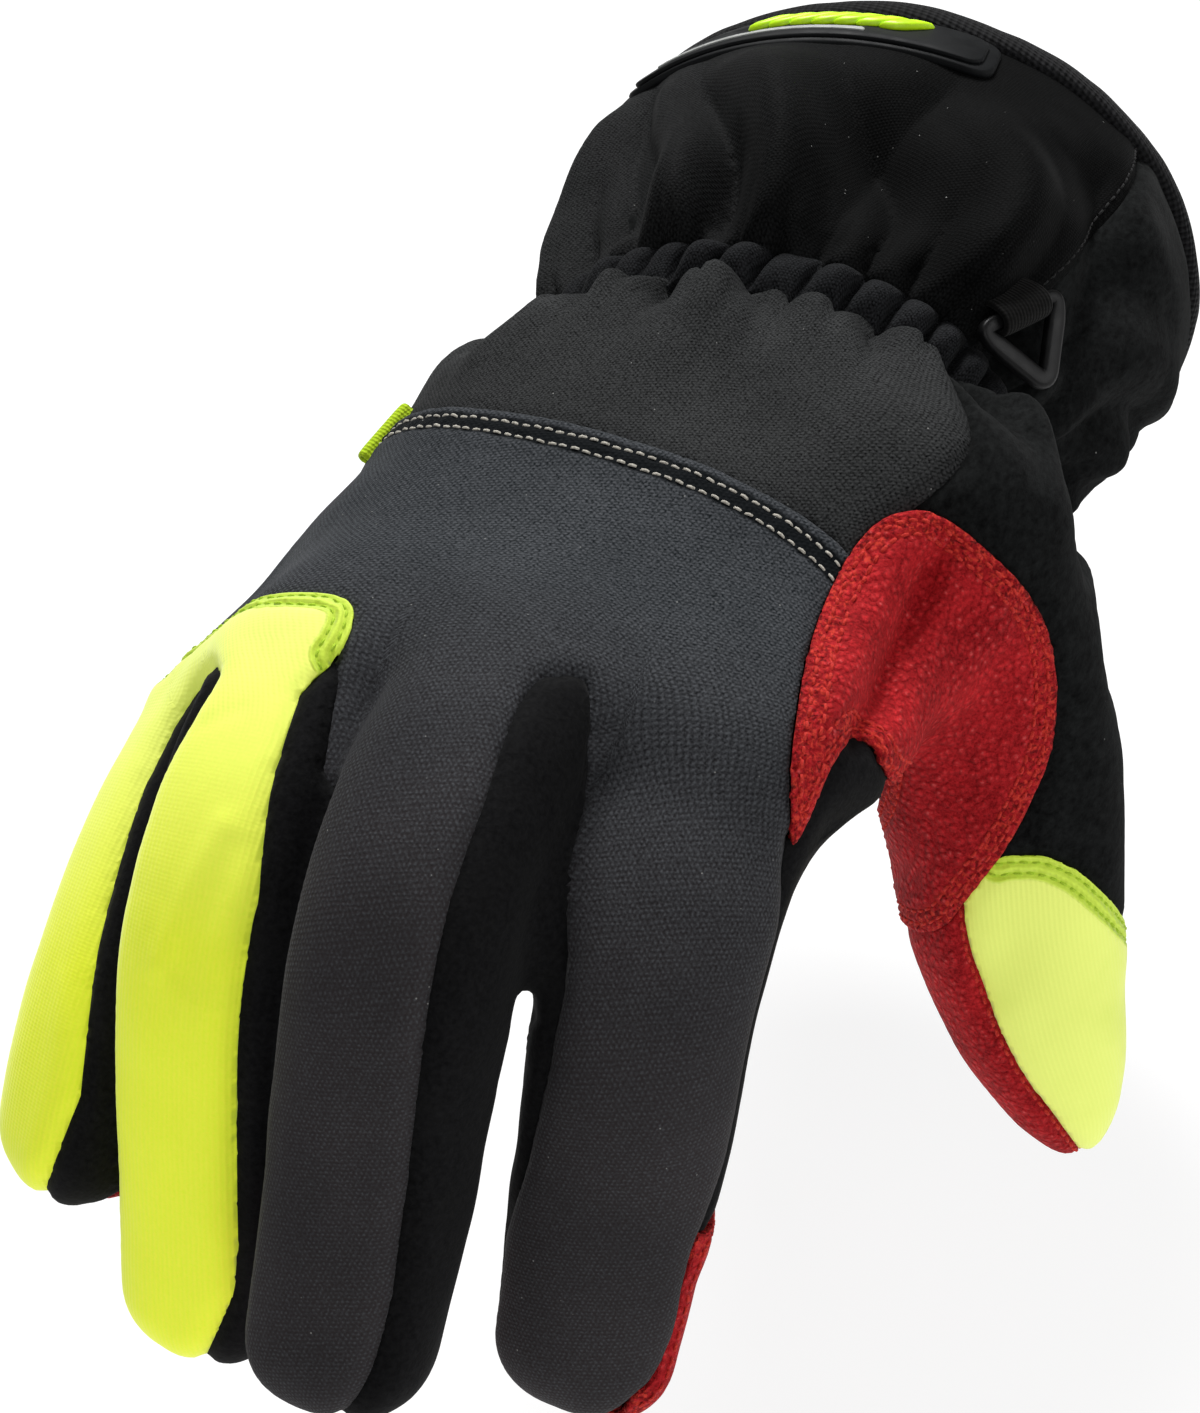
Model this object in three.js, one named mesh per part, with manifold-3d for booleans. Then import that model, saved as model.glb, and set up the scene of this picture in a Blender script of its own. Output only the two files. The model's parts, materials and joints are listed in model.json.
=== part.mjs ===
// Winter work glove for the right hand, in the shape it has on a hand, in millimetres with +Z up.
// The origin is the centre of the cuff's opening. The fingers point to -Y, the thumb is on +X, the back is up.
// The glove is a hollow shell: outer lofts less inner lofts, cut into its sewn panels by plain cutting solids.
import * as THREE from 'three';
import { mergeVertices } from 'three/addons/utils/BufferGeometryUtils.js';
import Module from 'manifold-3d';

const wasm = await Module();
wasm.setup();

// Driving dimensions
const WALL = 3.2;
const GAP = 0.3;
const HEM_WIDTH = 8;
const HEM_PROUD = 1.0;
const GATHER_START = -73;
const GATHER_END = -83;
const GATHER_COUNT = 24;
const GATHER_BULGE = 1.9;
const HAND_SIDES = 2 * GATHER_COUNT;
const HAND_START = GATHER_END - GAP;
const CUFF_END = GATHER_START + GAP;
const CUFF_STATIONS = [CUFF_END, -62, -46, -21, -HEM_WIDTH - GAP];
const CUT_STEP = 30;
const FINGER_POWER = 2.5;
const FINGER_CAP = 12;
const FINGER_ROOT = 28;
const THUMB_POWER = 2.3;
const THUMB_CAP = 9;
const THUMB_ROOT = 16;
const RING_WIRE = 2.4;
const RING_HOLE_CLEARANCE = 0.35;
const WEB_WIDTH = 10.5;
const WEB_THICKNESS = 1.3;
const DEGREE = Math.PI / 180;

// Turns rows of numbers into rows with named columns.
function table(columns, rows) {
  return rows.map((row) => Object.fromEntries(columns.map((name, i) => [name, row[i]])));
}

// Sections across the cuff and the hand: centre, half width, height above and below the centre,
// the roundness of the section (2 is an ellipse), and the depth of the folds that leave the gathers.
const HAND = table(['y', 'x', 'z', 'half', 'top', 'bottom', 'power', 'fold'], [
  [-171, -15, 3.4, 47.0, 15.0, 8.5, 2.3, 0],
  [-160, -15, 4.5, 53.0, 20.5, 11.0, 2.3, 0],
  [-140, -13.5, 4.5, 54.0, 22.5, 16.0, 2.2, 0],
  [-115, -10, 4.5, 52.5, 27.5, 24.5, 2.15, 0],
  [-98, -7, 5.0, 49.5, 32.5, 28.5, 2.1, 0],
  [-92, -6, 5.5, 48.5, 33.5, 29.5, 2.1, 0.4],
  [-84, -5, 6.0, 46.8, 34.0, 31.0, 2.1, 0.9],
  [-78, -4.5, 6.5, 46.0, 34.0, 32.0, 2.1, 1.3],
  [-72, -3.5, 6.8, 47.2, 35.5, 33.5, 2.1, 1.3],
  [-65, -2.5, 7.0, 49.0, 37.5, 35.0, 2.1, 1.0],
  [-56, -1.8, 7.0, 52.8, 40.5, 38.8, 2.1, 0.5],
  [-46, -1, 7.0, 56.0, 43.5, 42.0, 2.1, 0],
  [-21, 0, 6.0, 59.5, 47.5, 47.5, 2.05, 0],
  [0, 0, 0.0, 56.5, 51.0, 51.0, 2, 0],
]);

// Fingers: where the bone line starts, its yaw at the start and the end, its pitch at the start, the middle
// and the end, its length, the width at the start, the middle and the end, and its roll.
const FINGERS = table(
  ['name', 'x', 'y', 'z', 'yaw0', 'yaw1', 'pitch0', 'pitch1', 'pitch2', 'length', 'w0', 'w1', 'w2', 'roll'],
  [
    ['index', 13.8, -155, 4.8, 1.7, -1.4, 1, 67, 63, 106, 32.5, 31, 26.5, 6],
    ['middle', -15, -158, 10.3, -3.7, 6.2, -20, 61, 50, 118, 31.8, 31.5, 26.5, 0],
    ['ring', -44, -163, 7.7, -4.5, 10.6, -5, 72, 76, 116.5, 31.6, 29.4, 26.5, -10],
    ['little', -61.6, -153.4, -0.8, -7, -7.6, 17, 41, 68, 90.5, 26.4, 26, 24.4, -22],
  ],
);
const FINGER_FLATNESS = 0.86;

// The thumb's line from inside the hand to its tip, with the half width and the half thickness there.
const THUMB = table(['x', 'y', 'z', 'half', 'high'], [
  [32, -106, 10, 24, 20],
  [40, -108.5, -5, 22, 20],
  [47, -112.5, -18.5, 20.5, 19],
  [52.5, -117.5, -32, 19.3, 18],
  [57, -123.5, -45, 18, 16.5],
  [63, -129, -58, 15.2, 14],
  [69.5, -133, -70, 11.5, 11],
  [76, -138.5, -81, 5.5, 5.5],
]);
const THUMB_ACROSS = new THREE.Vector3(0.92, 0.35, 0.15);

// Seams along the fingers, as angles from the middle of a finger's back, the thumb side positive.
// tip is the length of the red fingertip patch, tipAngle is where the patch meets the back panel.
const SEAMS = table(['name', 'left', 'right', 'tip', 'tipAngle'], [
  ['index', -47, 86, 32, 62],
  ['middle', -70, 31, 24, 60],
  ['ring', -75, 33, 24, 60],
  ['little', -95, 26, 18, 60],
]);

// Seen from above, the grey back panel and the high-visibility panel on the back of the hand.
const BACK_PANEL_OUTLINE = [
  [-80, -107], [-57, -111], [-45, -116], [-33, -118], [-19, -120], [-2, -122], [12, -124], [24, -128],
  [50, -136], [50, -174], [-39.5, -176], [-39.5, -171], [-41, -167], [-45, -165], [-60, -163.5], [-80, -162],
];
const HI_VIS_OUTLINE = [
  [-39.5, -171], [-41, -167], [-45, -165], [-60, -163.5], [-80, -162], [-90, -176], [-39.5, -176],
];

// The red patch over the web of the thumb, drawn in the plane that faces it: a lobe on the index side and
// a lobe on the thumb. Each takes the surface down to a slanting floor behind the patch.
const WEB_CENTRE = new THREE.Vector3(42, -134, 2);
const WEB_FACING = new THREE.Vector3(0.117, -0.755, 0.645);
const INDEX_LOBE = {
  floor: 12,
  slope: -0.75,
  outline: [
    [-17, -19.5], [-19, -14], [-20, -7], [-20.3, 0], [-20.2, 7.5], [-19.2, 15], [-16.8, 23], [-13.6, 27.5],
    [-9.4, 30], [-4, 29], [-2, 12], [-8, 0], [-14, -7], [-15.5, -13],
  ],
};
const THUMB_LOBE = {
  floor: -26,
  slope: 0.5,
  outline: [
    [-9.4, 30], [-5, 30], [-1, 28.5], [5.7, 24], [11.8, 19], [15, 14], [17, 5], [17.2, -4], [15.3, -11],
    [12.6, -19], [10, -24], [7.5, -28], [5, -33.5], [0, -35], [-10, -30], [-14, -16], [-12, -4], [-12, 8],
  ],
};

// The clip ring's straight bar, the way the ring hangs from it, and the way the webbing leaves it.
const BAR_CENTRE = new THREE.Vector3(35.7, -69.5, 35.5);
const BAR_ALONG = new THREE.Vector3(0.53, 0.847, 0.02).normalize();
const RING_DOWN = new THREE.Vector3(0.52, -0.31, -0.8);
const WEB_BACK = new THREE.Vector3(-0.83, 0.51, 0.225);
const BAR_HALF = 9.2;
const RING_DROP = 13;
const RING_CORNER = 2.2;

// Cubic through the rows, with the slopes of their neighbours.
function sample(rows, key, value) {
  const last = rows.length - 1;
  const at = Math.min(Math.max(value, rows[0][key]), rows[last][key]);
  let i = 0;
  while (i < last - 1 && rows[i + 1][key] < at) i += 1;
  const step = rows[i + 1][key] - rows[i][key];
  const u = (at - rows[i][key]) / step;
  const slope = (j, name) => {
    const a = Math.max(j - 1, 0);
    const b = Math.min(j + 1, last);
    return (rows[b][name] - rows[a][name]) / (rows[b][key] - rows[a][key]);
  };
  const result = {};
  for (const name of Object.keys(rows[0])) {
    if (typeof rows[0][name] !== 'number') continue;
    const a = rows[i][name];
    const b = rows[i + 1][name];
    const p = slope(i, name) * step;
    const q = slope(i + 1, name) * step;
    result[name] = (2 * u ** 3 - 3 * u ** 2 + 1) * a + (u ** 3 - 2 * u ** 2 + u) * p
      + (-2 * u ** 3 + 3 * u ** 2) * b + (u ** 3 - u ** 2) * q;
  }
  return result;
}

function linear(from, middle, to, share) {
  return share < 0.5 ? from + (middle - from) * share * 2 : middle + (to - middle) * (share * 2 - 1);
}

// Geometry helpers: a loft through rings of equal count, closed with a fan at each end or closed on itself.
function geometryFrom(points, triangles) {
  const geometry = new THREE.BufferGeometry();
  geometry.setAttribute('position', new THREE.Float32BufferAttribute(points.flatMap((p) => p.toArray()), 3));
  geometry.setIndex(triangles);
  return geometry;
}

function middleOf(points) {
  const sum = new THREE.Vector3();
  points.forEach((p) => sum.add(p));
  return sum.divideScalar(points.length);
}

function loft(rings, closed = false) {
  const count = rings[0].length;
  const points = rings.flat();
  const triangles = [];
  const bands = closed ? rings.length : rings.length - 1;
  for (let r = 0; r < bands; r += 1) {
    const a = r * count;
    const b = ((r + 1) % rings.length) * count;
    for (let i = 0; i < count; i += 1) {
      const j = (i + 1) % count;
      triangles.push(a + i, a + j, b + j, a + i, b + j, b + i);
    }
  }
  if (!closed) {
    const first = points.push(middleOf(rings[0])) - 1;
    const last = points.push(middleOf(rings[rings.length - 1])) - 1;
    const end = (rings.length - 1) * count;
    for (let i = 0; i < count; i += 1) {
      const j = (i + 1) % count;
      triangles.push(first, j, i, last, end + i, end + j);
    }
  }
  return geometryFrom(points, triangles);
}

function volumeOf(vertices, triangles, size) {
  const corner = (t) => new THREE.Vector3().fromArray(vertices, triangles[t] * size);
  let volume = 0;
  for (let t = 0; t < triangles.length; t += 3) {
    volume += corner(t).dot(corner(t + 1).cross(corner(t + 2)));
  }
  return volume / 6;
}

// Turns a closed geometry into a solid, with its faces pointing out.
function solid(geometry) {
  const plain = geometry.clone();
  plain.deleteAttribute('normal');
  plain.deleteAttribute('uv');
  const merged = mergeVertices(plain, 1e-5);
  const vertProperties = Float32Array.from(merged.attributes.position.array);
  const triVerts = Uint32Array.from(merged.index.array);
  if (volumeOf(vertProperties, triVerts, 3) < 0) {
    for (let t = 0; t < triVerts.length; t += 3) {
      [triVerts[t], triVerts[t + 1]] = [triVerts[t + 1], triVerts[t]];
    }
  }
  return new wasm.Manifold(new wasm.Mesh({ numProp: 3, vertProperties, triVerts }));
}

function join(solids) {
  return solids.reduce((whole, one) => whole.add(one));
}

// The largest single body of a solid.
function largest(body) {
  return body.decompose().reduce((best, one) => (one.volume() > best.volume() ? one : best));
}

function geometryOf(body) {
  const mesh = body.getMesh();
  const points = [];
  for (let i = 0; i < mesh.vertProperties.length; i += mesh.numProp) {
    points.push(new THREE.Vector3().fromArray(mesh.vertProperties, i));
  }
  const geometry = geometryFrom(points, Array.from(mesh.triVerts));
  geometry.computeVertexNormals();
  return geometry;
}

// A point of a rounded section at an angle from its top, the thumb side positive.
function sectionPoint(angle, half, top, bottom, power) {
  const s = Math.sin(angle);
  const c = Math.cos(angle);
  const across = half * Math.sign(s) * Math.abs(s) ** (2 / power);
  const high = (c > 0 ? top : bottom) * Math.sign(c) * Math.abs(c) ** (2 / power);
  return [across, high];
}

// The gathers run round the wrist: a wave in the wall whose depth the table gives.
function foldWave(angle) {
  return Math.cos(GATHER_COUNT * angle);
}

function handRing(y, count, inset, folded) {
  const row = sample(HAND, 'y', y);
  const ring = [];
  for (let i = 0; i < count; i += 1) {
    const angle = (i / count) * 2 * Math.PI;
    const depth = inset - (folded ? row.fold * foldWave(angle) : 0);
    const [x, z] = sectionPoint(angle, row.half - depth, row.top - depth, row.bottom - depth, row.power);
    ring.push(new THREE.Vector3(row.x + x, y, row.z + z));
  }
  return ring;
}

function handLoft(stations, count, inset, folded) {
  return solid(loft(stations.map((y) => handRing(y, count, inset, folded))));
}

// Frames along a finger's line, and behind its start, where the finger sinks into the hand.
function fingerFrames(finger, steps, inset) {
  const frames = [];
  const length = finger.length - inset;
  const point = new THREE.Vector3(finger.x, finger.y, finger.z);
  const fine = 8;
  let before = null;
  for (let i = 0; i <= steps * fine; i += 1) {
    const share = i / (steps * fine);
    const s = share * length;
    const whole = s / finger.length;
    const pitch = linear(finger.pitch0, finger.pitch1, finger.pitch2, whole) * DEGREE;
    const yaw = (finger.yaw0 + (finger.yaw1 - finger.yaw0) * whole) * DEGREE;
    const along = new THREE.Vector3(
      Math.sin(yaw) * Math.cos(pitch),
      -Math.cos(yaw) * Math.cos(pitch),
      -Math.sin(pitch),
    );
    if (before) point.addScaledVector(before.clone().add(along).normalize(), length / (steps * fine));
    before = along;
    if (i % fine) continue;
    const side = new THREE.Vector3(Math.cos(yaw), Math.sin(yaw), 0);
    const up = along.clone().cross(side);
    const turn = new THREE.Quaternion().setFromAxisAngle(along, finger.roll * DEGREE);
    const half = linear(finger.w0, finger.w1, finger.w2, whole) / 2;
    frames.push({
      s,
      point: point.clone(),
      along,
      across: side.applyQuaternion(turn),
      up: up.applyQuaternion(turn),
      half,
      high: half * FINGER_FLATNESS,
    });
  }
  return frames;
}

function frameBetween(frames, s) {
  const last = frames.length - 1;
  const spacing = frames[1].s - frames[0].s;
  const place = Math.min(Math.max(s / spacing, 0), last - 1e-6);
  const i = Math.floor(place);
  const u = place - i;
  const a = frames[i];
  const b = frames[i + 1];
  const beyond = Math.min(s, 0) + Math.max(s - frames[last].s, 0);
  const along = a.along.clone().lerp(b.along, u).normalize();
  return {
    s,
    point: a.point.clone().lerp(b.point, u).addScaledVector(along, beyond),
    along,
    across: a.across.clone().lerp(b.across, u).normalize(),
    up: a.up.clone().lerp(b.up, u).normalize(),
    half: a.half + (b.half - a.half) * u,
    high: a.high + (b.high - a.high) * u,
  };
}

function frameRing(frame, count, inset, scale, power) {
  const ring = [];
  for (let i = 0; i < count; i += 1) {
    const angle = (i / count) * 2 * Math.PI;
    const high = (frame.high - inset) * scale;
    const [u, v] = sectionPoint(angle, (frame.half - inset) * scale, high, high, power);
    ring.push(frame.point.clone().addScaledVector(frame.across, u).addScaledVector(frame.up, v));
  }
  return ring;
}

// A round-ended tube along frames: the sections shrink over the cap at the tip and over the root in the hand.
function tubeLoft(frames, options) {
  const { count, step, inset, power, cap, root } = options;
  const length = frames[frames.length - 1].s;
  const rings = [];
  const shrink = (share) => (1 - Math.min(share, 0.995) ** power) ** (1 / power);
  if (root) {
    const share = 0.6;
    rings.push(frameRing(frameBetween(frames, -share * root), count, inset, shrink(share), power));
  }
  const body = length - cap;
  const stations = Math.round(body / step);
  for (let i = 0; i <= stations; i += 1) {
    rings.push(frameRing(frameBetween(frames, (i / stations) * body), count, inset, 1, power));
  }
  for (const share of [0.6, 0.93]) {
    rings.push(frameRing(frameBetween(frames, body + share * cap), count, inset, shrink(share), power));
  }
  return solid(loft(rings));
}

// Frames along the thumb's line.
function thumbFrames(inset) {
  const rows = [];
  let run = 0;
  THUMB.forEach((row, i) => {
    if (i) run += Math.hypot(row.x - THUMB[i - 1].x, row.y - THUMB[i - 1].y, row.z - THUMB[i - 1].z);
    rows.push({ ...row, run });
  });
  const length = run - inset;
  const steps = 18;
  const frames = [];
  for (let i = 0; i <= steps; i += 1) {
    const s = (i / steps) * length;
    const row = sample(rows, 'run', s);
    const ahead = sample(rows, 'run', s + 1);
    const behind = sample(rows, 'run', s - 1);
    const along = new THREE.Vector3(ahead.x - behind.x, ahead.y - behind.y, ahead.z - behind.z).normalize();
    const across = THUMB_ACROSS.clone().addScaledVector(along, -THUMB_ACROSS.dot(along)).normalize();
    const point = new THREE.Vector3(row.x, row.y, row.z);
    frames.push({ s, point, along, across, up: along.clone().cross(across), half: row.half, high: row.high });
  }
  return frames;
}

const FINGER_LINES = Object.fromEntries(FINGERS.map((finger) => [finger.name, fingerFrames(finger, 16, 0)]));
const THUMB_LINE = thumbFrames(0);
const THUMB_LENGTH = THUMB_LINE[THUMB_LINE.length - 1].s;

// The glove's outer form grown by an amount, or its hollow when the amount is the wall taken away.
function gloveForm(grow, detail) {
  const hand = detail
    ? handLoft([-171, -157, -130, -98, -80], HAND_SIDES, -grow, true)
    : handLoft([-167, -150, -115, -84, -65, -46, -21, 4], 20, -grow, false);
  const parts = [hand];
  for (const finger of FINGERS) {
    const frames = fingerFrames(finger, 16, -grow);
    const options = { count: detail ? 12 : 8, step: detail ? 23 : 34, inset: -grow };
    parts.push(tubeLoft(frames, { ...options, power: FINGER_POWER, cap: FINGER_CAP, root: FINGER_ROOT }));
  }
  const options = { count: detail ? 12 : 8, step: detail ? 20 : 34, inset: -grow };
  parts.push(tubeLoft(thumbFrames(-grow), { ...options, power: THUMB_POWER, cap: THUMB_CAP, root: THUMB_ROOT }));
  return join(parts);
}

// Cutting solids. Each is a function of how far it is grown, so that neighbours can keep their gap.
function offsetOutline(outline, grow) {
  const area = outline.reduce((sum, [x, y], i) => {
    const [nx, ny] = outline[(i + 1) % outline.length];
    return sum + x * ny - nx * y;
  }, 0);
  const side = Math.sign(area) * grow;
  return outline.map(([x, y], i) => {
    const [px, py] = outline[(i + outline.length - 1) % outline.length];
    const [nx, ny] = outline[(i + 1) % outline.length];
    const length = Math.hypot(nx - px, ny - py);
    return [x + (side * (ny - py)) / length, y - (side * (nx - px)) / length];
  });
}

function planCutter(outline, bottom, top, grow) {
  const shape = new THREE.Shape(offsetOutline(outline, grow).map(([x, y]) => new THREE.Vector2(x, y)));
  const geometry = new THREE.ExtrudeGeometry(shape, { depth: top - bottom + 2 * grow, bevelEnabled: false });
  geometry.translate(0, 0, bottom - grow);
  return solid(geometry);
}

// A wedge that follows a line of frames: it takes the wall between two angles, out to a share of the section.
function wedgeCutter(frames, wedge, grow) {
  const { from, to, start, end, reach } = wedge;
  const middle = ((from + to) / 2) * DEGREE;
  const spread = (to - from) * DEGREE;
  const bands = Math.ceil((to - from) / 45);
  const steps = Math.ceil((end - start) / CUT_STEP);
  const rings = [];
  for (let i = 0; i <= steps; i += 1) {
    const ends = i === 0 ? -grow : 0;
    const s = start + ((end - start) * i) / steps + (i === steps ? grow : ends);
    const frame = frameBetween(frames, s);
    const place = (u, v) => frame.point.clone().addScaledVector(frame.across, u).addScaledVector(frame.up, v);
    const back = grow / Math.max(Math.sin(spread / 2), 0.2);
    const ring = [place(-Math.sin(middle) * back, -Math.cos(middle) * back)];
    for (let k = 0; k <= bands; k += 1) {
      const turn = (k / bands) * 2 - 1;
      const angle = middle + turn * (spread / 2 + grow / frame.half);
      const out = 1.6 * grow;
      const across = frame.half * reach + out;
      ring.push(place(Math.sin(angle) * across, Math.cos(angle) * (frame.high * reach + out)));
    }
    rings.push(ring);
  }
  return solid(loft(rings));
}

function handFrames() {
  const frames = [];
  const spacing = 6;
  for (let s = 0; s <= 180; s += spacing) {
    const row = sample(HAND, 'y', -s);
    frames.push({
      s,
      point: new THREE.Vector3(row.x, -s, row.z),
      along: new THREE.Vector3(0, -1, 0),
      across: new THREE.Vector3(1, 0, 0),
      up: new THREE.Vector3(0, 0, 1),
      half: row.half,
      high: row.top,
    });
  }
  return frames;
}

const HAND_LINE = handFrames();

// A lobe of the web patch: from its slanting floor to well in front of the surface.
function lobeCutter(lobe, grow) {
  const across = new THREE.Vector3(0, 0, 1).cross(WEB_FACING).normalize();
  const up = WEB_FACING.clone().cross(across).normalize();
  const front = 60;
  const rings = [0, 1].map((level) => offsetOutline(lobe.outline, grow).map(([u, v]) => {
    const depth = level ? front : lobe.floor + lobe.slope * v - grow;
    return WEB_CENTRE.clone().addScaledVector(across, u).addScaledVector(up, v)
      .addScaledVector(WEB_FACING, depth);
  }));
  return solid(loft(rings));
}

function seamOf(name) {
  return SEAMS.find((row) => row.name === name);
}

function backWedges(name, grow) {
  const seam = seamOf(name);
  const frames = FINGER_LINES[name];
  const length = frames[frames.length - 1].s;
  const reach = 1.35;
  const split = length - seam.tip;
  const right = Math.min(seam.right, seam.tipAngle);
  return [
    wedgeCutter(frames, { from: seam.left, to: seam.right, start: 12, end: split, reach }, grow),
    wedgeCutter(frames, { from: seam.left, to: right, start: split - 1, end: length + 6, reach }, grow),
  ];
}

function tipWedge(name, grow) {
  const seam = seamOf(name);
  const frames = FINGER_LINES[name];
  const length = frames[frames.length - 1].s;
  const from = Math.min(seam.right, seam.tipAngle) > 45 ? 45 : 100;
  return wedgeCutter(frames, { from, to: 262, start: length - seam.tip, end: length + 6, reach: 1.3 }, grow);
}

function sideWedge(name, side, grow) {
  const seam = seamOf(name);
  const frames = FINGER_LINES[name];
  const length = frames[frames.length - 1].s;
  const angles = side > 0 ? { from: seam.right - 6, to: 138 } : { from: -138, to: seam.left + 6 };
  return wedgeCutter(frames, { ...angles, start: 7, end: length + 6, reach: 1.16 }, grow);
}

function upperHand(outline, grow) {
  return planCutter(outline, 3, 70, grow);
}

const ZONES = [
  { name: 'saddle_patch', zone: (g) => join([lobeCutter(INDEX_LOBE, g), lobeCutter(THUMB_LOBE, g)]) },
  {
    name: 'thumb_tip_panel',
    zone: (g) => wedgeCutter(THUMB_LINE, { from: -26, to: 125, start: 49, end: THUMB_LENGTH + 6, reach: 1.4 }, g),
  },
  {
    name: 'thumb_pad',
    zone: (g) => wedgeCutter(THUMB_LINE, { from: 115, to: 345, start: 55, end: THUMB_LENGTH + 6, reach: 1.4 }, g),
  },
  {
    name: 'thumb_fleece_panel',
    zone: (g) => join([
      wedgeCutter(THUMB_LINE, { from: -20, to: 140, start: 4, end: 56, reach: 1.4 }, g),
      wedgeCutter(HAND_LINE, { from: 41, to: 118, start: -HAND_START, end: 128, reach: 1.4 }, g),
    ]),
  },
  {
    name: 'hi_vis_panel',
    zone: (g) => join([upperHand(HI_VIS_OUTLINE, g), ...backWedges('ring', g), ...backWedges('little', g)]),
  },
  {
    name: 'back_panel',
    zone: (g) => join([upperHand(BACK_PANEL_OUTLINE, g), ...backWedges('index', g), ...backWedges('middle', g)]),
  },
  ...FINGERS.map(({ name }) => ({ name: `fingertip_${name}`, zone: (g) => tipWedge(name, g) })),
  {
    name: 'fourchette_index_middle',
    zone: (g) => join([sideWedge('index', -1, g), sideWedge('middle', 1, g)]),
  },
  {
    name: 'fourchette_middle_ring',
    zone: (g) => join([sideWedge('middle', -1, g), sideWedge('ring', 1, g)]),
  },
  {
    name: 'fourchette_ring_little',
    zone: (g) => join([sideWedge('ring', -1, g), sideWedge('little', 1, g)]),
  },
  {
    name: 'hand_back',
    zone: (g) => wedgeCutter(HAND_LINE, { from: -84, to: 41, start: -HAND_START, end: 140, reach: 1.4 }, g),
  },
];

const hollow = gloveForm(-WALL, false);
const IN_FRONT_OF_GATHERS = [[-130, HAND_START], [130, HAND_START], [130, -320], [-130, -320]];
const handShell = gloveForm(0, true)
  .intersect(planCutter(IN_FRONT_OF_GATHERS, -200, 120, 0))
  .subtract(hollow);

// Cuts the hand's shell into its panels, the first zones having first claim. What is left is the palm.
function handPanels() {
  const pieces = {};
  let rest = handShell;
  for (const { name, zone } of ZONES) {
    pieces[name] = largest(rest.intersect(zone(0)));
    rest = rest.subtract(zone(GAP));
  }
  pieces.palm_panel = largest(rest);
  return pieces;
}

// The cuff: a shell between the hem and the gathers, cut at its two side seams.
function cuffPanels() {
  const shell = handLoft(CUFF_STATIONS, HAND_SIDES, 0, true).subtract(hollow);
  const back = { from: -84, to: 50, start: 0, end: 80, reach: 1.4 };
  return {
    cuff_back: largest(shell.intersect(wedgeCutter(HAND_LINE, back, 0))),
    cuff_palm: largest(shell.subtract(wedgeCutter(HAND_LINE, back, GAP))),
  };
}

// The hem is a binding ring round the opening.
function hem() {
  const outer = handLoft([-HEM_WIDTH, 0], 24, -HEM_PROUD, false);
  return largest(outer.subtract(hollow));
}

// The elastic channel: a ring whose wall swells between the puckers.
function wristGathers() {
  const count = GATHER_COUNT * 3;
  const rings = [];
  for (let i = 0; i < count; i += 1) {
    const angle = (i / count) * 2 * Math.PI;
    const swell = 0.5 + 0.5 * foldWave(angle);
    const ring = [];
    const profile = table(['share', 'out', 'swell'], [
      [0, -WALL, 0], [0, 0, 0.3], [0.5, 0.5, 1], [1, 0, 0.3], [1, -WALL, 0],
    ]);
    for (const row of profile) {
      const y = GATHER_START + (GATHER_END - GATHER_START) * row.share;
      const at = sample(HAND, 'y', y);
      const out = row.out + row.swell * swell * GATHER_BULGE;
      const [x, z] = sectionPoint(angle, at.half + out, at.top + out, at.bottom + out, at.power);
      ring.push(new THREE.Vector3(at.x + x, y, at.z + z));
    }
    rings.push(ring);
  }
  return solid(loft(rings, true));
}

// A frame of three directions at a point, as a matrix.
function placed(geometry, x, y, z, at) {
  return geometry.clone().applyMatrix4(new THREE.Matrix4().makeBasis(x, y, z).setPosition(at));
}

// The clip ring: a rounded triangle of round wire, its straight side in the webbing.
function clipRing() {
  const corners = [[-BAR_HALF, 0], [BAR_HALF, 0], [0, RING_DROP]].map(([u, v]) => new THREE.Vector2(u, v));
  const path = [];
  corners.forEach((corner, i) => {
    const before = corners[(i + 2) % 3].clone().sub(corner).normalize();
    const after = corners[(i + 1) % 3].clone().sub(corner).normalize();
    const start = corner.clone().addScaledVector(before, RING_CORNER * 1.4);
    const end = corner.clone().addScaledVector(after, RING_CORNER * 1.4);
    path.push(...new THREE.QuadraticBezierCurve(start, corner, end).getPoints(3));
  });
  const normal = BAR_ALONG.clone().cross(RING_DOWN).normalize();
  const down = normal.clone().cross(BAR_ALONG);
  const place = (p) => BAR_CENTRE.clone().addScaledVector(BAR_ALONG, p.x).addScaledVector(down, p.y);
  const sides = 6;
  const rings = path.map((p, i) => {
    const ahead = place(path[(i + 1) % path.length]);
    const behind = place(path[(i + path.length - 1) % path.length]);
    const out = ahead.sub(behind).normalize().cross(normal);
    return Array.from({ length: sides }, (unused, k) => {
      const angle = ((k + 0.5) / sides) * 2 * Math.PI;
      return place(p).addScaledVector(out, (Math.cos(angle) * RING_WIRE) / 2)
        .addScaledVector(normal, (Math.sin(angle) * RING_WIRE) / 2);
    });
  });
  return solid(loft(rings, true));
}

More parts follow.
